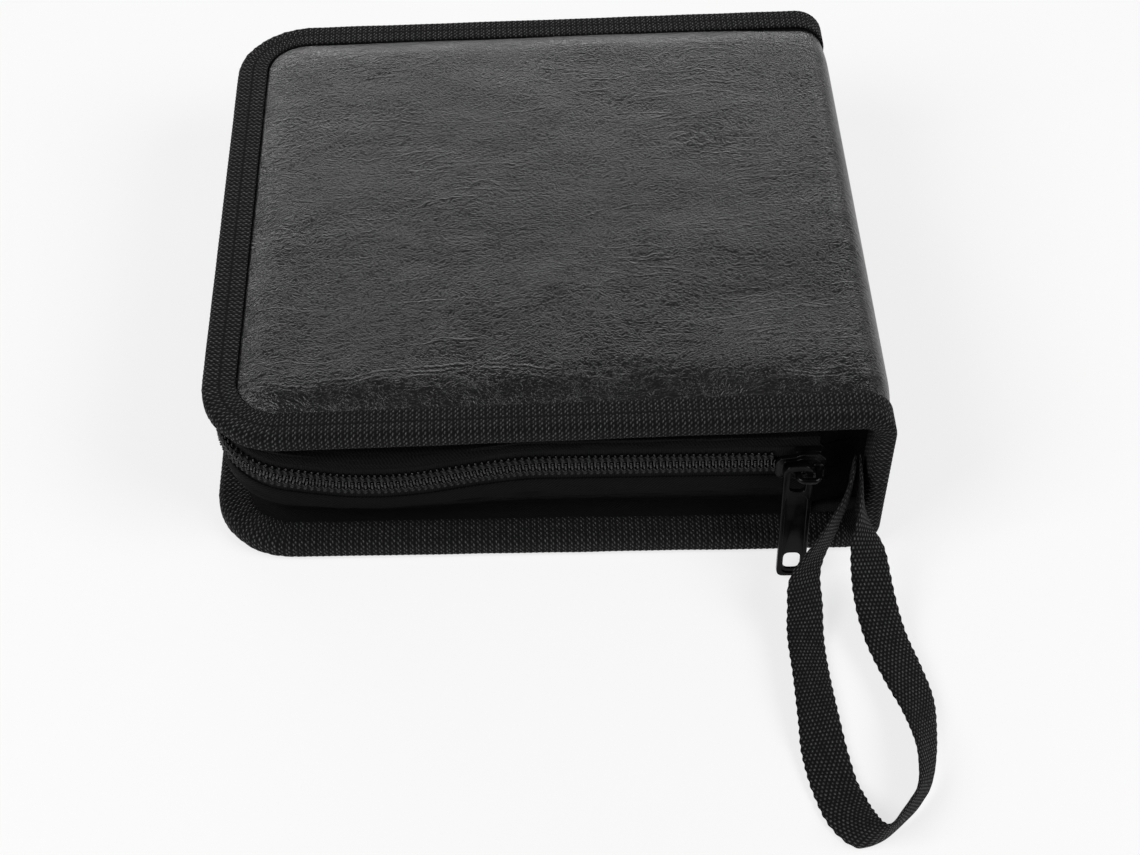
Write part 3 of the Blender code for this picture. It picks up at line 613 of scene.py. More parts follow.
def cover_rows(panel):
    """The run and y of a cover's grid of points, whose rows start a little inside the bound edge."""
    inset = COVER_INSET
    corner = np.linspace(0, 1, 22) ** 0.6
    reach = CORNER_RADIUS - inset
    edge = SIDE / 2 + reach * corner
    middle = np.linspace(-SIDE / 2, SIDE / 2, 96)[1:-1]
    y = np.concatenate([-edge[::-1], middle, edge])
    lift = np.sqrt(np.clip(reach**2 - np.clip(np.abs(y) - SIDE / 2, 0, None) ** 2, 0, None))
    first = np.where(np.abs(y) > SIDE / 2, CORNER_RADIUS - lift, inset)
    share = np.linspace(0, 1, 140)
    run = first[:, None] + (panel.end - first[:, None]) * share[None, :]
    return run, np.broadcast_to(y[:, None], run.shape)


def padded_depth(panel, run, y):
    """The depth of the leather's face: crowned over the padding and rolling off to the binding."""
    inset = from_edge(run, y)
    width = ROLL_OFF * (1 + 0.20 * soft_noise(run, 0.2 * y, 0.05, 8))
    rise = 1 - (1 - np.clip((inset - PANEL_MARGIN) / width, 0, 1)) ** 2
    level = smooth_step((panel.flat - run) / CROWN_FADE)
    crown = (LID_CROWN if panel is LID else 0.0) * rise * level
    soft = COVER_SWELL * soft_noise(run, y, 0.045, 3) + COVER_DIMPLE * soft_noise(run, y, 0.018, 4)
    return EDGE_SINK * (1 - rise) - crown - soft * rise * (level if panel is LID else 0.0)


def lining_depth(_panel, run, y):
    """The depth of the lining's face, which rises over the boards a little way in from the edge."""
    inset = from_edge(run, y)
    rise = smooth_step((inset - GUSSET_TUCK) / 0.003)
    ripple = LINING_RIPPLE * soft_noise(run, y, 0.03, 6) * rise
    return LINING_EDGE_FACE + (LINING_FACE - LINING_EDGE_FACE) * rise + ripple


def covers():
    for name, (panel, bodies, start, end) in FOLDS.items():
        run, y = cover_rows(panel)
        uvs = np.stack([run, y], axis=-1)
        outer = (name + "_cover", padded_depth, LEATHER, "leather", ["leather", "board"])
        inner = (name + "_cover_lining", lining_depth, LINING, "lining", ["lining"])
        for title, depth, material, slot, stands_for in (outer, inner):
            x, z = panel.at(run, depth(panel, run, y))
            flip = (panel is LID) != (depth is lining_depth)
            cover = grid_mesh(title, points_at(x, y, z), uvs, material, flip=flip)
            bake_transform(cover)
            nodes = [f"{name}_{layer}" for layer in stands_for]
            if panel is BASE:
                nodes += [f"spine_{layer}" for layer in stands_for]
            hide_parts(*nodes)


def binding_section():
    """Insets and depths round the bound edge in section, from flange to flange and back inside."""
    radius = BINDING_ROUND
    turn = np.linspace(0, math.pi / 2, 7)
    flange = np.linspace(FLANGE, radius, 11)[:-1]
    dome = FLANGE_DOME * np.sin(math.pi * (flange - radius) / (FLANGE - radius))
    dome -= GROOVE_DEPTH * np.exp(-(((flange - GROOVE_INSET) / GROOVE_WIDTH) ** 2))
    outer = [np.stack([flange, -dome], axis=1)]
    outer.append(np.stack([radius - radius * np.sin(turn), radius - radius * np.cos(turn)], axis=1))
    half = np.concatenate(outer)
    wall = np.linspace(radius, EDGE_HEIGHT - radius, 6)[1:-1]
    mirrored = np.stack([half[::-1, 0], EDGE_HEIGHT - half[::-1, 1]], axis=1)
    outside = np.concatenate([half, np.stack([0 * wall, wall], axis=1), mirrored])
    inside = outside[::-3].copy()
    inside[:, 0] = np.maximum(inside[:, 0] + BINDING * 0.4, BINDING)
    inside[:, 0] = np.minimum(inside[:, 0], FLANGE - 0.0002)
    inside[:, 1] = np.clip(inside[:, 1], BINDING, EDGE_HEIGHT - BINDING)
    return outside, inside


def bindings():
    outside, inside = binding_section()
    tangent = np.gradient(outside, axis=0)
    normal = np.stack([tangent[:, 1], -tangent[:, 0]], axis=1)
    normal /= np.linalg.norm(normal, axis=1)[:, None]
    across = lengths(outside)
    for name, (panel, bodies, start, end) in FOLDS.items():
        first = WIDTH - panel.end
        ways = np.arange(first, 2 * HALF_WAY - first, RIB / 3)
        rib = np.cos(2 * math.pi * (ways - first) / RIB)
        gather = soft_noise(ways, 0, 0.004, 12) * corner_share(ways)
        pucker = soft_noise(ways, 0, 0.022, 5)
        rows = []
        shape = np.concatenate([outside, inside])
        for i, (inset, depth) in enumerate(shape):
            push = 0.0
            if i < len(outside):
                stagger = math.cos(2 * math.pi * across[i] / (0.85 * MM))
                push = RIB_HEIGHT * rib * (0.6 + 0.4 * stagger)
                push = push + CORNER_GATHER * gather + BINDING_PUCKER * pucker
                inset = inset - normal[i, 0] * push
                depth = depth - normal[i, 1] * push
            run, y = edge_point(ways, np.maximum(inset, BINDING_CLEARANCE))
            x, z = panel.at(run, np.maximum(depth, BINDING_CLEARANCE))
            rows.append(points_at(x, y, z))
        girth = np.concatenate([across, across[::-3], across[:1]])
        obj = sections_mesh(name + "_edge_tape", rows, ways - first, girth, TAPE_CLOTH, True, panel is LID)
        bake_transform(obj)
        nodes = [name + "_binding"]
        nodes.append("spine_binding_front" if panel is BASE else "spine_binding_rear")
        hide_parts(*nodes)


def corner_share(ways):
    """1 round a corner of the case and 0 along its straight edges."""
    half = np.minimum(ways, 2 * HALF_WAY - ways)
    entering = smooth_step((half - STRAIGHT + CORNER_LEAD) / CORNER_FADE)
    return entering * smooth_step((STRAIGHT + BEND + CORNER_LEAD - half) / CORNER_FADE)


def free_points(ways, inset, height):
    run, y = edge_point(ways, inset)
    return points_at(run - WIDTH / 2, y, height)


def smooth_through(values, count):
    """A rounded chain through control points, by cutting their corners three times."""
    values = np.asarray(values, float)
    for _ in range(3):
        near = values[:-1] * 0.75 + values[1:] * 0.25
        far = values[:-1] * 0.25 + values[1:] * 0.75
        cut = np.empty((2 * len(near), values.shape[1]))
        cut[0::2], cut[1::2] = near, far
        values = np.concatenate([values[:1], cut, values[-1:]])
    travelled = lengths(values)
    wanted = np.linspace(0, travelled[-1], count)
    return resampled(values, travelled, wanted)


def gussets():
    """The soft walls from the bindings to the zip, tucked in and creased, with the twill's rows."""
    tucks = [(-0.03, 0.62), (0.03, 0.86), (0.16, 1.02), (0.30, 0.92), (0.5, 0.45), (0.72, 0.0), (1.0, 0.0)]
    shape = smooth_through(tucks, 28)
    ways = np.arange(ZIP_END_WAY, 2 * HALF_WAY - ZIP_END_WAY, GUSSET_STEP)
    for name, (panel, *_) in FOLDS.items():
        toward, seed = (1, 21) if panel is BASE else (-1, 22)
        run, _ = edge_point(ways, FLANGE)
        _, start = panel.at(run, EDGE_HEIGHT)
        finish = zip_height(ways) - toward * GUSSET_HALF_GAP
        bulge = GUSSET_TUCK - GUSSET_INSET
        rows = []
        for up, tuck in shape:
            middle = math.sin(math.pi * min(max(up, 0), 1))
            crease = GUSSET_CREASE * soft_noise(ways + 0.3 * up, up * 0.02, 0.016, seed)
            inset = GUSSET_INSET + bulge * tuck + crease * middle
            rows.append(free_points(ways, inset, start + (finish - start) * up))
        across = np.linspace(0, float(np.abs(finish - start).mean()) * 1.2, len(shape))
        obj = sections_mesh(name + "_gusset_cloth", rows, ways, across, TWILL, flip=panel is LID)
        thick(obj, GUSSET_CLOTH)
        held(obj, name, "gusset", name + "_gusset")


def thick(obj, thickness, offset=0.0):
    solidify = obj.modifiers.new("thickness", "SOLIDIFY")
    solidify.thickness = thickness
    solidify.offset = offset


def zip_path(first, last):
    """Ways along the zip, and how far its sagging line has run at each of them."""
    fine = np.linspace(first, last, 4000)
    return fine, lengths(np.stack([fine, zip_height(fine)], axis=1))


def chain_points(distance, fine, travelled, across, inset):
    """Points this far along the zip's line, across it and in from the case's edge."""
    way = np.interp(distance, travelled, fine)
    rise = (zip_height(way + 0.0005) - zip_height(way - 0.0005)) / 0.001
    slope = np.arctan(rise)
    run, y = edge_point(way - across * np.sin(slope), inset)
    return points_at(run - WIDTH / 2, y, zip_height(way) + across * np.cos(slope))


def tube_mesh(name, line, radius, sides, material, reference=(0.0, 0.0, 1.0)):
    """A tube along a chain of points, with its frame kept as steady as it can be."""
    tangent = np.gradient(line, axis=0)
    tangent /= np.linalg.norm(tangent, axis=1)[:, None]
    side = np.cross(tangent, np.array(reference))
    weak = np.linalg.norm(side, axis=1) < 0.2
    side[weak] = np.cross(tangent[weak], np.array([1.0, 0.0, 0.0]))
    side /= np.linalg.norm(side, axis=1)[:, None]
    other = np.cross(side, tangent)
    angles = np.linspace(0, 2 * math.pi, sides, endpoint=False)
    radius = np.broadcast_to(radius, (len(line),))
    rows = [line + (math.cos(a) * side + math.sin(a) * other) * radius[:, None] for a in angles]
    along = lengths(line)
    across = np.linspace(0, 2 * math.pi * float(radius.mean()), sides + 1)
    return sections_mesh(name, rows, along, across, material, True)


def coils():
    """Both nylon coils, their heads laced together along the zip, and the sewing that holds them, whose
    dark band over the legs also stands in for their painted shade.
    """
    for name, first, body in (("lower", LOWER_COIL_START, "base"), ("upper", UPPER_COIL_START, "lid")):
        toward = 1 if name == "lower" else -1
        fine, travelled = zip_path(first, 2 * HALF_WAY - ZIP_END_WAY)
        turns = int(travelled[-1] / COIL_PITCH) - 1
        t = np.arange(turns * COIL_STEPS) / COIL_STEPS
        part = t % 1.0
        reach = COIL_MIDDLE - COIL_REACH * np.cos(2 * math.pi * part)
        rise = np.sin(2 * math.pi * part)
        near_head = np.exp(-(((reach - COIL_CREST) / (COIL_REACH * 0.6)) ** 2))
        out = np.where(rise > 0, COIL_FACE * (0.15 + 0.85 * near_head), -COIL_FACE) * np.abs(rise) ** 0.5
        advance = np.floor(t) + smooth_step((part - 0.5) * 2)
        grid = (2 * HALF_WAY - first) % COIL_PITCH
        shift = grid + (COIL_PITCH / 2 if name == "lower" else 0.0)
        distance = np.clip(advance * COIL_PITCH + shift, 0, travelled[-1])
        line = chain_points(distance, fine, travelled, -toward * reach, COIL_INSET - out)
        head = smooth_step((COIL_CREST - reach) / COIL_CREST)
        coil = tube_mesh(name + "_coil", line, COIL_WIRE * (1 + 0.30 * head), 8, COIL)
        held(coil, body, "zip_coil", f"{name}_zip_coil")
        for k, (place, radius, weight) in enumerate(COIL_SEAMS):
            s = np.arange(0, travelled[-1] - COIL_PITCH, COIL_PITCH / 10)
            wave = np.cos(2 * math.pi * (s - shift) / COIL_PITCH)
            inset = COIL_INSET - COIL_FACE * weight - SEWING_DEPTH - SEAM_SWAY * wave
            sway = -toward * (place + SEAM_SWAY * np.sin(2 * math.pi * (s - shift) / COIL_PITCH))
            seam = chain_points(s, fine, travelled, sway, inset)
            thread = radius * (1 + 0.6 * wave)
            stitch = tube_mesh(f"{name}_coil_stitch_{k + 1}", seam, thread, 6, THREAD)
            held(stitch, body, "zip_tape")
        # A dark sewn band over the outer legs, which also stands in for the shade in their recess.
        s = np.arange(0, travelled[-1] - COIL_PITCH, COIL_PITCH / 4)
        spread = np.linspace(SEWING[0], SEWING[1], 6)
        rows = []
        for place in spread:
            dome = math.sin(math.pi * (place - SEWING[0]) / (SEWING[1] - SEWING[0]))
            proud = COIL_INSET - COIL_FACE * 0.30 - COIL_WIRE * (0.3 + 0.9 * dome)
            rows.append(chain_points(s, fine, travelled, 0 * s - toward * place, proud))
        girth = spread * toward
        cover = sections_mesh(name + "_coil_sewing_shade", rows, s - shift, girth, SEWING_SHADE_CLOTH, flip=toward < 0)
        thick(cover, SEWING_DEPTH)
        held(cover, body, "zip_tape")


def tapes():
    for name, panel, body in (("lower", BASE, "base"), ("upper", LID, "lid")):
        toward = 1 if panel is BASE else -1
        ways = np.arange(ZIP_END_WAY, 2 * HALF_WAY - ZIP_END_WAY, TAPE_STEP)
        rows = []
        spread = np.linspace(*TAPE_SPAN, 9)
        for place in spread:
            wave = TAPE_WAVE * soft_noise(ways, place, 0.012, 31)
            height = zip_height(ways) - toward * place
            rows.append(free_points(ways, TAPE_INSET - TAPE_CLOTH_DEPTH + wave, height))
        obj = sections_mesh(name + "_tape_cloth", rows, ways, spread, ZIP_CLOTH, flip=panel is LID)
        thick(obj, TAPE_CLOTH_DEPTH)
        held(obj, body, "zip_tape", f"{name}_zip_tape")


# The slider, its bail and the pull tab, with the sizes of their solids
SLIDER_FACE = 0.0009
SLIDER_PLATE = 0.0011
SLIDER_HALF_WIDTH = 0.0044
SLIDER_NECK = 0.0035
SLIDER_CORNER = 0.0015
SLIDER_TAPER = 0.0009
SLIDER_DROP = 0.0004
SLIDER_WAIST = (-0.0014, 0.0002)
SLIDER_ROUND = 0.0005
SLIDER_WALL = 0.0009
SLIDER_RIM = 0.00016
RIM_SHARE = (0.985, 0.975)
CROWN_SHARE = (0.80, 0.74)
CROWN_SINK = 0.0001
CROWN_THICKNESS = 0.0006
WALL_ENDS = (-0.0013, 0.0045)
WALL_DEPTH = 0.0019
SLIDER_BACK = 0.00465
POST_LENGTH = 0.0017
POST_WIDTH = 0.0022
BAIL_RADIUS = 0.0008
BAIL_BEND = 0.0013
BAIL_SPAN = 0.0047
BAIL_STANDOFF = 0.0041
BAIL_FOOT = (0.0013, 0.0017)
FOOT_CORNER = 0.0009
FOOT_THICKNESS = 0.0007
FOOT_PROUD = 0.0003
TAB_AXIS = Vector((0.0572, -0.0771, 0.0293))
TAB_LEAN = math.radians(13)
TAB_WIDTH = 0.0068
TAB_THICKNESS = 0.0015
TAB_DROP = 0.0290
TAB_TOP = 0.0027
TAB_SHOULDER = (0.0013, 0.0014)
TAB_CORNER = 0.0017
TAB_WINDOW = (0.0018, 0.0011, -0.0045)
TAB_RIM = 0.0010
TAB_RECESS = 0.00036
TAB_SLOT_WIDTH = 0.0040
TAB_SLOT_HEIGHT = 0.0046
TAB_SLOT_FOOT = 0.0020
TAB_WINDOW_CORNER = 0.0011
TAB_SLOT_CORNER = 0.0015
TAB_PANEL_CORNER = 0.0019


def arc(centre, radius, first, last, steps):
    """Points along an arc, with its angles in degrees."""
    angles = np.radians(np.linspace(first, last, steps + 1))
    return [(centre[0] + radius * math.cos(a), centre[1] + radius * math.sin(a)) for a in angles]


def rounded(points, radius, steps=4):
    """A closed outline with each corner rounded."""
    outline = []
    count = len(points)
    for i in range(count):
        corner = Vector(points[i])
        before = Vector(points[i - 1]) - corner
        after = Vector(points[(i + 1) % count]) - corner
        cut = min(radius, before.length * 0.45, after.length * 0.45)
        start = corner + before.normalized() * cut
        end = corner + after.normalized() * cut
        for step in range(steps + 1):
            t = step / steps
            outline.append(tuple(start * (1 - t) ** 2 + corner * 2 * t * (1 - t) + end * t**2))
    return outline


def block(left, right, low, high, radius, steps=4):
    """The outline of a rectangle with rounded corners."""
    return rounded([(left, high), (left, low), (right, low), (right, high)], radius, steps)


def plate(name, outline, thickness, material, holes=(), bevel=0.0002):
    """A flat piece with softened edges, from its outline and the outlines of its holes."""
    curve = bpy.data.curves.new(name, "CURVE")
    curve.dimensions = "2D"
    curve.fill_mode = "BOTH"
    curve.extrude = thickness / 2 - bevel
    curve.bevel_depth = bevel
    curve.bevel_resolution = 3
    curve.offset = -bevel
    for shape in (outline, *holes):
        spline = curve.splines.new("POLY")
        spline.points.add(len(shape) - 1)
        for point, place in zip(spline.points, shape):
            point.co = (*place, 0, 1)
        spline.use_cyclic_u = True
    drawn = linked(name, curve)
    bpy.context.view_layer.update()
    evaluated = drawn.evaluated_get(bpy.context.evaluated_depsgraph_get())
    mesh = bpy.data.meshes.new_from_object(evaluated)
    bpy.data.objects.remove(drawn)
    mesh.materials.clear()
    mesh.materials.append(material)
    return mesh


def joined(name, meshes, material):
    """One object from meshes that are already in place."""
    shape = bmesh.new()
    for mesh in meshes:
        shape.from_mesh(mesh)
    bmesh.ops.remove_doubles(shape, verts=shape.verts, dist=2e-6)
    mesh = bpy.data.meshes.new(name)
    shape.to_mesh(mesh)
    shape.free()
    mesh.materials.append(material)
    for polygon in mesh.polygons:
        polygon.material_index = 0
        polygon.use_smooth = True
    mesh.set_sharp_from_angle(angle=math.radians(42))
    return linked(name, mesh)


def placed(mesh, matrix):
    mesh.transform(matrix)
    return mesh


def slider():
    """The slider's two plates with their side walls, the post between them and the arched bail."""
    middle = (SLIDER_LEFT + SLIDER_RIGHT) / 2
    end = (SLIDER_RIGHT - SLIDER_LEFT) / 2
    wide, neck, cut = SLIDER_HALF_WIDTH, SLIDER_NECK, SLIDER_CORNER
    upper = [(-end, neck - cut), (-end + SLIDER_TAPER, neck - SLIDER_DROP), (SLIDER_WAIST[0], neck)]
    upper += [(SLIDER_WAIST[1], wide), (end - cut, wide), (end, wide - cut)]
    outline = rounded(upper + [(x, -y) for x, y in reversed(upper)], SLIDER_ROUND)
    crown = [(x * CROWN_SHARE[0], y * CROWN_SHARE[1]) for x, y in outline]
    front = -DEPTH / 2 + SLIDER_FACE
    back = -DEPTH / 2 + SLIDER_BACK
    meshes = []

    def add(shape, thickness, x, y, z=ZIP_HEIGHT, bevel=0.0002):
        """Stands a flat piece up, facing front, at this place."""
        place = Matrix.Translation((x, y, z)) @ Matrix.Rotation(math.pi / 2, 4, "X")
        meshes.append(placed(plate("slider_part", shape, thickness, METAL, bevel=bevel), place))

    for shape, y, thickness in (
        (outline, front + SLIDER_PLATE / 2, SLIDER_PLATE),
        (crown, front + CROWN_SINK, CROWN_THICKNESS),
        (outline, back + SLIDER_PLATE / 2, SLIDER_PLATE),
    ):
        add(shape, thickness, middle, y, bevel=0.00014)
    ring = [(middle + x * RIM_SHARE[0], ZIP_HEIGHT + z * RIM_SHARE[1]) for x, z in outline + outline[:1]]
    rim = np.array([(x, front + CROWN_SINK, z) for x, z in ring])
    edge = tube_mesh("slider_rim", rim, SLIDER_RIM, 8, METAL, (0.0, 1.0, 0.0))
    meshes.append(edge.data)
    wall = block(*WALL_ENDS, 0, SLIDER_WALL, 0.0003, 2)
    for side in (1, -1):
        z = ZIP_HEIGHT + (wide - SLIDER_WALL if side > 0 else -wide)
        add(wall, WALL_DEPTH, middle, front + SLIDER_PLATE + 0.0008, z)
    post = block(-POST_LENGTH, 0, -POST_WIDTH / 2, POST_WIDTH / 2, 0.0004, 2)
    add(post, back - front, SLIDER_RIGHT - 0.0006, (front + back + SLIDER_PLATE) / 2)
    left = TAB_AXIS.x
    right = left + BAIL_SPAN
    top = front - BAIL_STANDOFF
    route = [(left, front + 0.0003)] + arc((left + BAIL_BEND, top + BAIL_BEND), BAIL_BEND, 180, 270, 6)
    route += arc((right - BAIL_BEND, top + BAIL_BEND), BAIL_BEND, 270, 360, 6) + [(right, front + 0.0003)]
    line = np.array([(x, y, ZIP_HEIGHT) for x, y in smooth_through(route, 40)])
    bail = tube_mesh("bail", line, BAIL_RADIUS * 0.92, 12, METAL)
    meshes.append(bail.data)
    for x in (left, right):
        foot = block(-BAIL_FOOT[0], BAIL_FOOT[0], -BAIL_FOOT[1], BAIL_FOOT[1], FOOT_CORNER)
        add(foot, FOOT_THICKNESS, x, front - FOOT_PROUD, bevel=FOOT_PROUD)
    obj = joined("zip_slider", meshes, METAL)
    bpy.data.objects.remove(bail)
    bpy.data.objects.remove(edge)
    held(obj, "slider", "metal", "slider_body")


def pull_tab():
    """The hanging tab: a window at its head, a raised rim and a sunk panel down each face."""
    half = TAB_WIDTH / 2
    shoulder, brow = half - TAB_SHOULDER[0], TAB_TOP - TAB_SHOULDER[1]
    left_side = [(-half, -TAB_DROP), (-half, brow), (-shoulder, TAB_TOP)]
    outline = left_side[1:] + [(-x, z) for x, z in reversed(left_side)] + left_side[:1]
    outline = rounded(outline, TAB_CORNER, 6)
    wide, high, low = TAB_WINDOW
    window = block(-wide, wide, low, high, TAB_WINDOW_CORNER, 5)
    slot_half, slot_foot = TAB_SLOT_WIDTH / 2, TAB_SLOT_FOOT - TAB_DROP
    slot_head = slot_foot + TAB_SLOT_HEIGHT
    slot = block(-slot_half, slot_half, slot_foot, slot_head, TAB_SLOT_CORNER, 6)
    inner = half - TAB_RIM
    foot = -TAB_DROP + TAB_RIM
    head = low - TAB_RIM
    panel = block(-inner, inner, foot, head, TAB_PANEL_CORNER, 6)
    skin = TAB_RECESS
    turn = Matrix.Translation(TAB_AXIS) @ Matrix.Rotation(math.pi / 2 - TAB_LEAN, 4, "X")
    meshes = [plate("tab_core", outline, TAB_THICKNESS - 2 * skin, METAL, (window, slot), 0.00012)]
    for side in (1, -1):
        rim = plate("tab_rim", outline, 2 * skin, METAL, (window, panel), 0.00022)
        meshes.append(placed(rim, Matrix.Translation((0, 0, side * (TAB_THICKNESS / 2 - skin)))))
    meshes = [placed(mesh, turn) for mesh in meshes]
    obj = joined("zip_pull", meshes, METAL)
    held(obj, "pull_tab", "metal", "pull_tab")


STRAP_WIDTH = 0.0105
STRAP = 0.0010
STRAP_ANCHOR = Vector((0.0712, -0.0707, 0))
STRAP_SCALLOP = 0.00014
STRAP_PITCH = 0.0024
STRAP_WAVE = 0.00012

# The loop's route, six numbers a row: how far along X and Y from its anchor, the height above the
# table, and the direction across the band from its first edge to its second.
STRAP_ROUTE = (
    (0.0000, 0.0000, 0.0240, 0.00, 0.10, -0.99),
    (-0.0015, -0.0060, 0.0225, 0.15, 0.48, -0.86),
    (-0.0060, -0.0130, 0.0175, 0.45, 0.62, -0.64),
    (-0.0120, -0.0205, 0.0115, 0.76, 0.51, -0.39),
    (-0.0125, -0.0270, 0.0062, 0.86, 0.40, -0.32),
    (-0.0128, -0.0340, 0.0035, 0.87, 0.27, -0.40),
    (-0.0126, -0.0440, 0.0031, 0.86, 0.30, -0.38),
    (-0.0122, -0.0550, 0.0024, 0.92, 0.30, -0.22),
    (-0.0118, -0.0625, 0.0014, 0.98, 0.14, -0.08),
    (-0.0108, -0.0705, 0.0012, 1.00, 0.00, 0.02),
    (-0.0098, -0.0750, 0.0016, 0.98, 0.02, 0.18),
    (-0.0087, -0.0797, 0.0026, 0.92, 0.02, 0.40),
    (-0.0071, -0.0840, 0.0041, 0.71, 0.05, 0.70),
    (-0.0050, -0.0868, 0.0052, 0.44, 0.04, 0.90),
    (-0.0022, -0.0866, 0.0056, 0.12, -0.16, 0.98),
    (0.0005, -0.0847, 0.0056, -0.18, -0.36, 0.91),
    (0.0033, -0.0817, 0.0054, -0.36, -0.42, 0.83),
    (0.0058, -0.0785, 0.0054, -0.42, -0.46, 0.78),
    (0.0080, -0.0752, 0.0054, -0.46, -0.50, 0.74),
    (0.0096, -0.0695, 0.0053, -0.54, -0.60, 0.60),
    (0.0104, -0.0625, 0.0050, -0.61, -0.56, 0.53),
    (0.0102, -0.0530, 0.0038, -0.78, -0.52, 0.31),
    (0.0080, -0.0435, 0.0034, -0.90, -0.42, 0.14),
    (0.0054, -0.0340, 0.0042, -0.96, -0.24, 0.13),
    (0.0036, -0.0250, 0.0078, -0.96, -0.18, 0.20),
    (0.0026, -0.0165, 0.0135, -0.86, -0.34, 0.38),
    (0.0019, -0.0110, 0.0182, -0.42, -0.45, 0.79),
    (0.0012, -0.0055, 0.0222, -0.08, -0.30, 0.95),
    (0.0013, 0.0008, 0.0240, 0.00, -0.10, 0.99),
)


def curve_through(points, steps):
    """Points on a smooth curve through the given ones."""
    padded = np.concatenate([points[:1], points, points[-1:]])
    t = (np.arange(steps) / steps)[:, None]
    pieces = []
    for before, start, end, after in zip(padded, padded[1:], padded[2:], padded[3:]):
        bend = 2 * before - 5 * start + 4 * end - after
        twist = 3 * start - before - 3 * end + after
        pieces.append(0.5 * (2 * start + (end - before) * t + bend * t**2 + twist * t**3))
    return np.concatenate([*pieces, points[-1:]])


def unit(vectors):
    return vectors / np.linalg.norm(vectors, axis=-1, keepdims=True)


def wrist_loop():
    """The webbing loop: a thick band with rounded selvedges that scallop with its weave."""
    anchor = np.array(STRAP_ANCHOR)
    route = np.array(STRAP_ROUTE)
    centres = curve_through(route[:, :3] + anchor, 40)
    across = unit(curve_through(route[:, 3:], 40))
    along = lengths(centres)
    even = np.arange(0, along[-1], STRAP_PITCH / 7)
    centres = resampled(centres, along, even)
    across = unit(resampled(across, along, even))
    tangent = unit(np.gradient(centres, axis=0))
    normal = unit(np.cross(tangent, across))
    half = STRAP_WIDTH / 2
    side = np.linspace(-1, 1, 17)
    thin = STRAP / 2
    face = [(half * s, thin * (1 - abs(s) ** 6)) for s in side]
    loop = face + [(x, -z) for x, z in reversed(face[1:-1])]
    rows = []
    scallop = STRAP_SCALLOP * np.cos(2 * math.pi * even / STRAP_PITCH)
    for x, z in loop:
        edge = (abs(x) / half) ** 8
        reach = x + np.sign(x) * scallop * edge
        lift = z + STRAP_WAVE * soft_noise(even, x, 0.012, 41) * (1 - edge)
        rows.append(centres + across * reach[:, None] + normal * lift[:, None])
    loop = np.array(loop)
    girth = lengths(np.concatenate([loop, loop[:1]]))
    obj = sections_mesh("wrist_loop", rows, even, girth, WEBBING, True)
    held(obj, "spine", "webbing", "wrist_strap")


def gusset_ends():
    """The folded ends of the gusset: sewn into the spine's binding, each in a piece below the zip and a
    piece above it.
    """
    low, high = FOLD_RADIUS + END_GAP, SPINE_HEIGHT - FOLD_RADIUS - END_GAP
    section = smooth_through([(WIDTH / 2 - back, inset) for back, inset in END_SECTION], 52)
    places = [(name, side, body) for name, side in (("front", -1), ("rear", 1)) for body in ("base", "lid")]
    for name, side, body in places:
        bottom, top = (low, ZIP_HEIGHT) if body == "base" else (ZIP_HEIGHT, high)
        heights = np.linspace(bottom, top, 31)
        middle = (heights - low) / (high - low)
        rows = []
        for i, (x, inset) in enumerate(section):
            share = i / (len(section) - 1)
            loose = math.sin(math.pi * min(share * 1.3, 1))
            pleat = END_PLEAT * np.sin(heights / END_PLEAT_LENGTH + 2.6 * share) * loose
            tuck = END_TUCK * (2 * middle - 1) ** 2 * share
            y = side * (DEPTH / 2 - inset - pleat - tuck)
            rows.append(points_at(x, y, heights))
        across = lengths(section)
        obj = sections_mesh(f"gusset_end_{name}_{body}", rows, heights, across, TWILL, flip=side < 0)
        thick(obj, GUSSET_CLOTH)
        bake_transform(obj)
        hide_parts(f"gusset_end_{name}")


def page_edge(y, left, half):
    """Where a page's free edge lies: rounded at its corners and notched for a thumb."""
    away = np.abs(y)
    over = np.clip(away - (half - SLEEVE_CORNER), 0, SLEEVE_CORNER)
    corner = SLEEVE_CORNER - np.sqrt(SLEEVE_CORNER**2 - over**2)
    notch = np.sqrt(np.clip(THUMB_RADIUS**2 - away**2, 0, None))
    return left + corner + notch


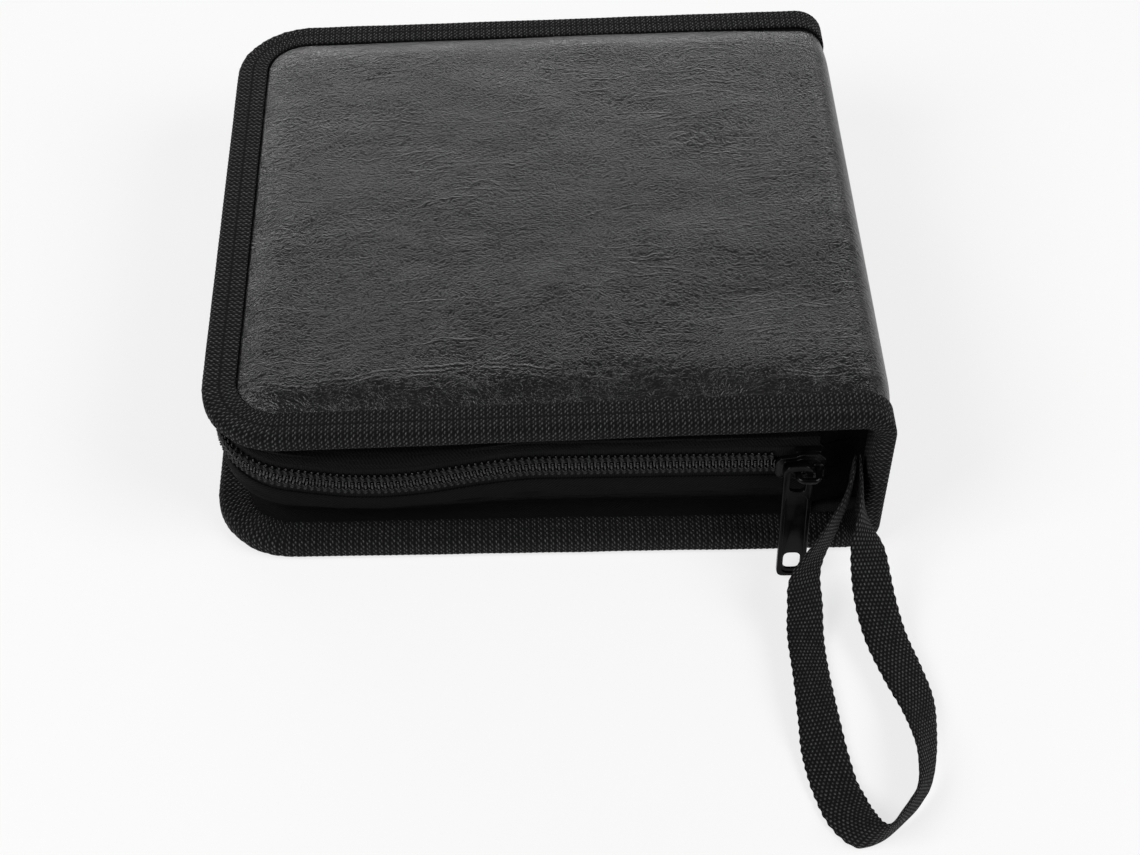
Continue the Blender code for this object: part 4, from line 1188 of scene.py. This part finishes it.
def sleeves():
    """The disc pages, each faintly rippled by the pocket's seams, and the strip that binds them."""
    low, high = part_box("sleeve_01")
    left, right, half = low[0], high[0], high[1]
    bend = np.linspace(0, 1, 9) ** 0.5
    thumb = THUMB_RADIUS * np.sin(np.linspace(0, math.pi / 2, 9))
    straight = np.linspace(THUMB_RADIUS, half - SLEEVE_CORNER, 12)[1:-1]
    y = np.concatenate([thumb, straight, half - SLEEVE_CORNER + SLEEVE_CORNER * bend])
    y = np.concatenate([-y[:0:-1], y])
    share = np.linspace(0, 1, 26)[:, None]
    first = page_edge(y, left, half)
    x = first + (right - first) * share
    across = np.broadcast_to(y, x.shape)
    for i in range(SLEEVES):
        node = f"sleeve_{i + 1:02d}"
        low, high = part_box(node)
        free = smooth_step((right - x) / 0.02)
        lift = PAGE_SWELL * soft_noise(x, across, 0.03, 50 + i) * free
        lift = np.clip(lift, -PAGE_RIPPLE, PAGE_RIPPLE)
        points = points_at(x, across, (low[2] + high[2]) / 2 + lift)
        uvs = np.stack([x, across], axis=-1)
        page = grid_mesh(f"page_{i + 1:02d}", points, uvs, FLEECE)
        thick(page, SLEEVE_SKIN)
        held(page, "base", "sleeve", node)

    low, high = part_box("page_strip")
    skin = STRIP_CLOTH / 2 + 0.00005
    lap, back, under, over = low[0], high[0] - skin, low[2] + skin, high[2] - skin
    turn = arc((back - STRIP_BEND, under + STRIP_BEND), STRIP_BEND, 270, 360, 6)
    turn += arc((back - STRIP_BEND, over - STRIP_BEND), STRIP_BEND, 0, 90, 6)
    section = np.array([(lap, under), *turn, (lap, over)])
    travelled = lengths(section) / lengths(section)[-1]
    section = resampled(section, travelled, np.linspace(0, 1, 40))
    ys = np.linspace(-half, half, 80)
    rows = [points_at(x, ys, z) for x, z in section]
    strip = sections_mesh("page_binding", rows, ys, lengths(section), LINING)
    thick(strip, STRIP_CLOTH)
    held(strip, "base", "lining", "page_strip")


# The view, in pixels for its focal length and for the photograph's width
EYE = (-0.011, -0.387, 0.385)
VIEW_DEGREES = (2.9, 47.5, 1.25)
SENSOR = 36
FOCAL_PIXELS = 2072
PHOTO_WIDTH = 1140

# The lamps: name, place, height of what they face, size and watts
LAMPS = (
    ("left_softbox", (-1.0, -0.6, 1.0), 0.02, (0.8, 0.8), 15.8),
    ("right_softbox", (1.0, -0.5, 1.0), 0.02, (0.8, 0.8), 12.6),
    ("rear_softbox", (-0.10, 1.20, 0.38), 0.04, (2.0, 0.36), 9.9),
)
FLOOR_SHARE = 0.72
FLOOR_GAP = 0.0004
WORLD_LEVEL = 0.10


def camera():
    """The photograph's view: its place, heading, pitch and roll, and its focal length."""
    yaw, pitch, roll = (math.radians(angle) for angle in VIEW_DEGREES)
    ahead = Vector((math.sin(yaw) * math.cos(pitch), math.cos(yaw) * math.cos(pitch), -math.sin(pitch)))
    level = Vector((math.cos(yaw), -math.sin(yaw), 0))
    upward = level.cross(ahead)
    right = level * math.cos(roll) + upward * math.sin(roll)
    up = upward * math.cos(roll) - level * math.sin(roll)
    data = bpy.data.cameras.new("camera")
    data.sensor_width = SENSOR
    data.lens = SENSOR * FOCAL_PIXELS / PHOTO_WIDTH
    data.clip_start = 0.01
    obj = linked("camera", data)
    obj.matrix_world = Matrix.Translation(EYE) @ Matrix((right, up, -ahead)).transposed().to_4x4()
    bpy.context.scene.camera = obj


def area_light(name, place, aim, size, watts):
    data = bpy.data.lights.new(name, "AREA")
    data.shape = "RECTANGLE"
    data.size, data.size_y = size
    data.energy = watts
    obj = linked(name, data)
    obj.location = place
    obj.rotation_euler = (Vector((0, 0, aim)) - Vector(place)).to_track_quat("-Z", "Y").to_euler()


def studio():
    """A pale floor that shows white with a soft shadow, a white world and three soft lamps."""
    bpy.ops.mesh.primitive_plane_add(size=6, location=(0, 0, -FLOOR_GAP))
    floor = bpy.context.object
    floor.name = "floor"
    look = Shader("floor", roughness=0.9, specular=0.1)
    paths = look.nodes.new("ShaderNodeLightPath")
    grain = look.noise(look.scaled(0.02, 0.02), detail=2.0)
    look.paint(grain, (0.86, 0.86), (0.89, 0.89))
    seen = look.math("MAXIMUM", paths.outputs["Is Camera Ray"], paths.outputs["Is Glossy Ray"])
    seen = look.math("MAXIMUM", seen, paths.outputs["Is Transmission Ray"])
    white = look.node("Emission", Strength=1.0)
    shares = (look.times(seen, FLOOR_SHARE), look.shader.outputs[0], white.outputs[0])
    mix = look.plug(look.node("MixShader"), shares)
    look.link(mix, look.nodes["Material Output"].inputs["Surface"])
    floor.data.materials.append(look.material)

    world = bpy.data.worlds.new("studio")
    world.use_nodes = True
    tree = world.node_tree
    background = tree.nodes["Background"]
    paths = tree.nodes.new("ShaderNodeLightPath")
    strength = tree.nodes.new("ShaderNodeMapRange")
    strength.inputs["To Min"].default_value = WORLD_LEVEL
    strength.inputs["To Max"].default_value = 1.0
    tree.links.new(paths.outputs["Is Camera Ray"], strength.inputs["Value"])
    tree.links.new(strength.outputs[0], background.inputs["Strength"])
    background.inputs["Color"].default_value = (1, 1, 1, 1)
    bpy.context.scene.world = world

    for lamp in LAMPS:
        area_light(*lamp)


def main():
    bpy.context.scene.view_settings.view_transform = "Standard"
    camera()
    studio()
    covers()
    bindings()
    gussets()
    gusset_ends()
    sleeves()
    tapes()
    coils()
    slider()
    pull_tab()
    wrist_loop()
    bpy.context.view_layer.update()


main()
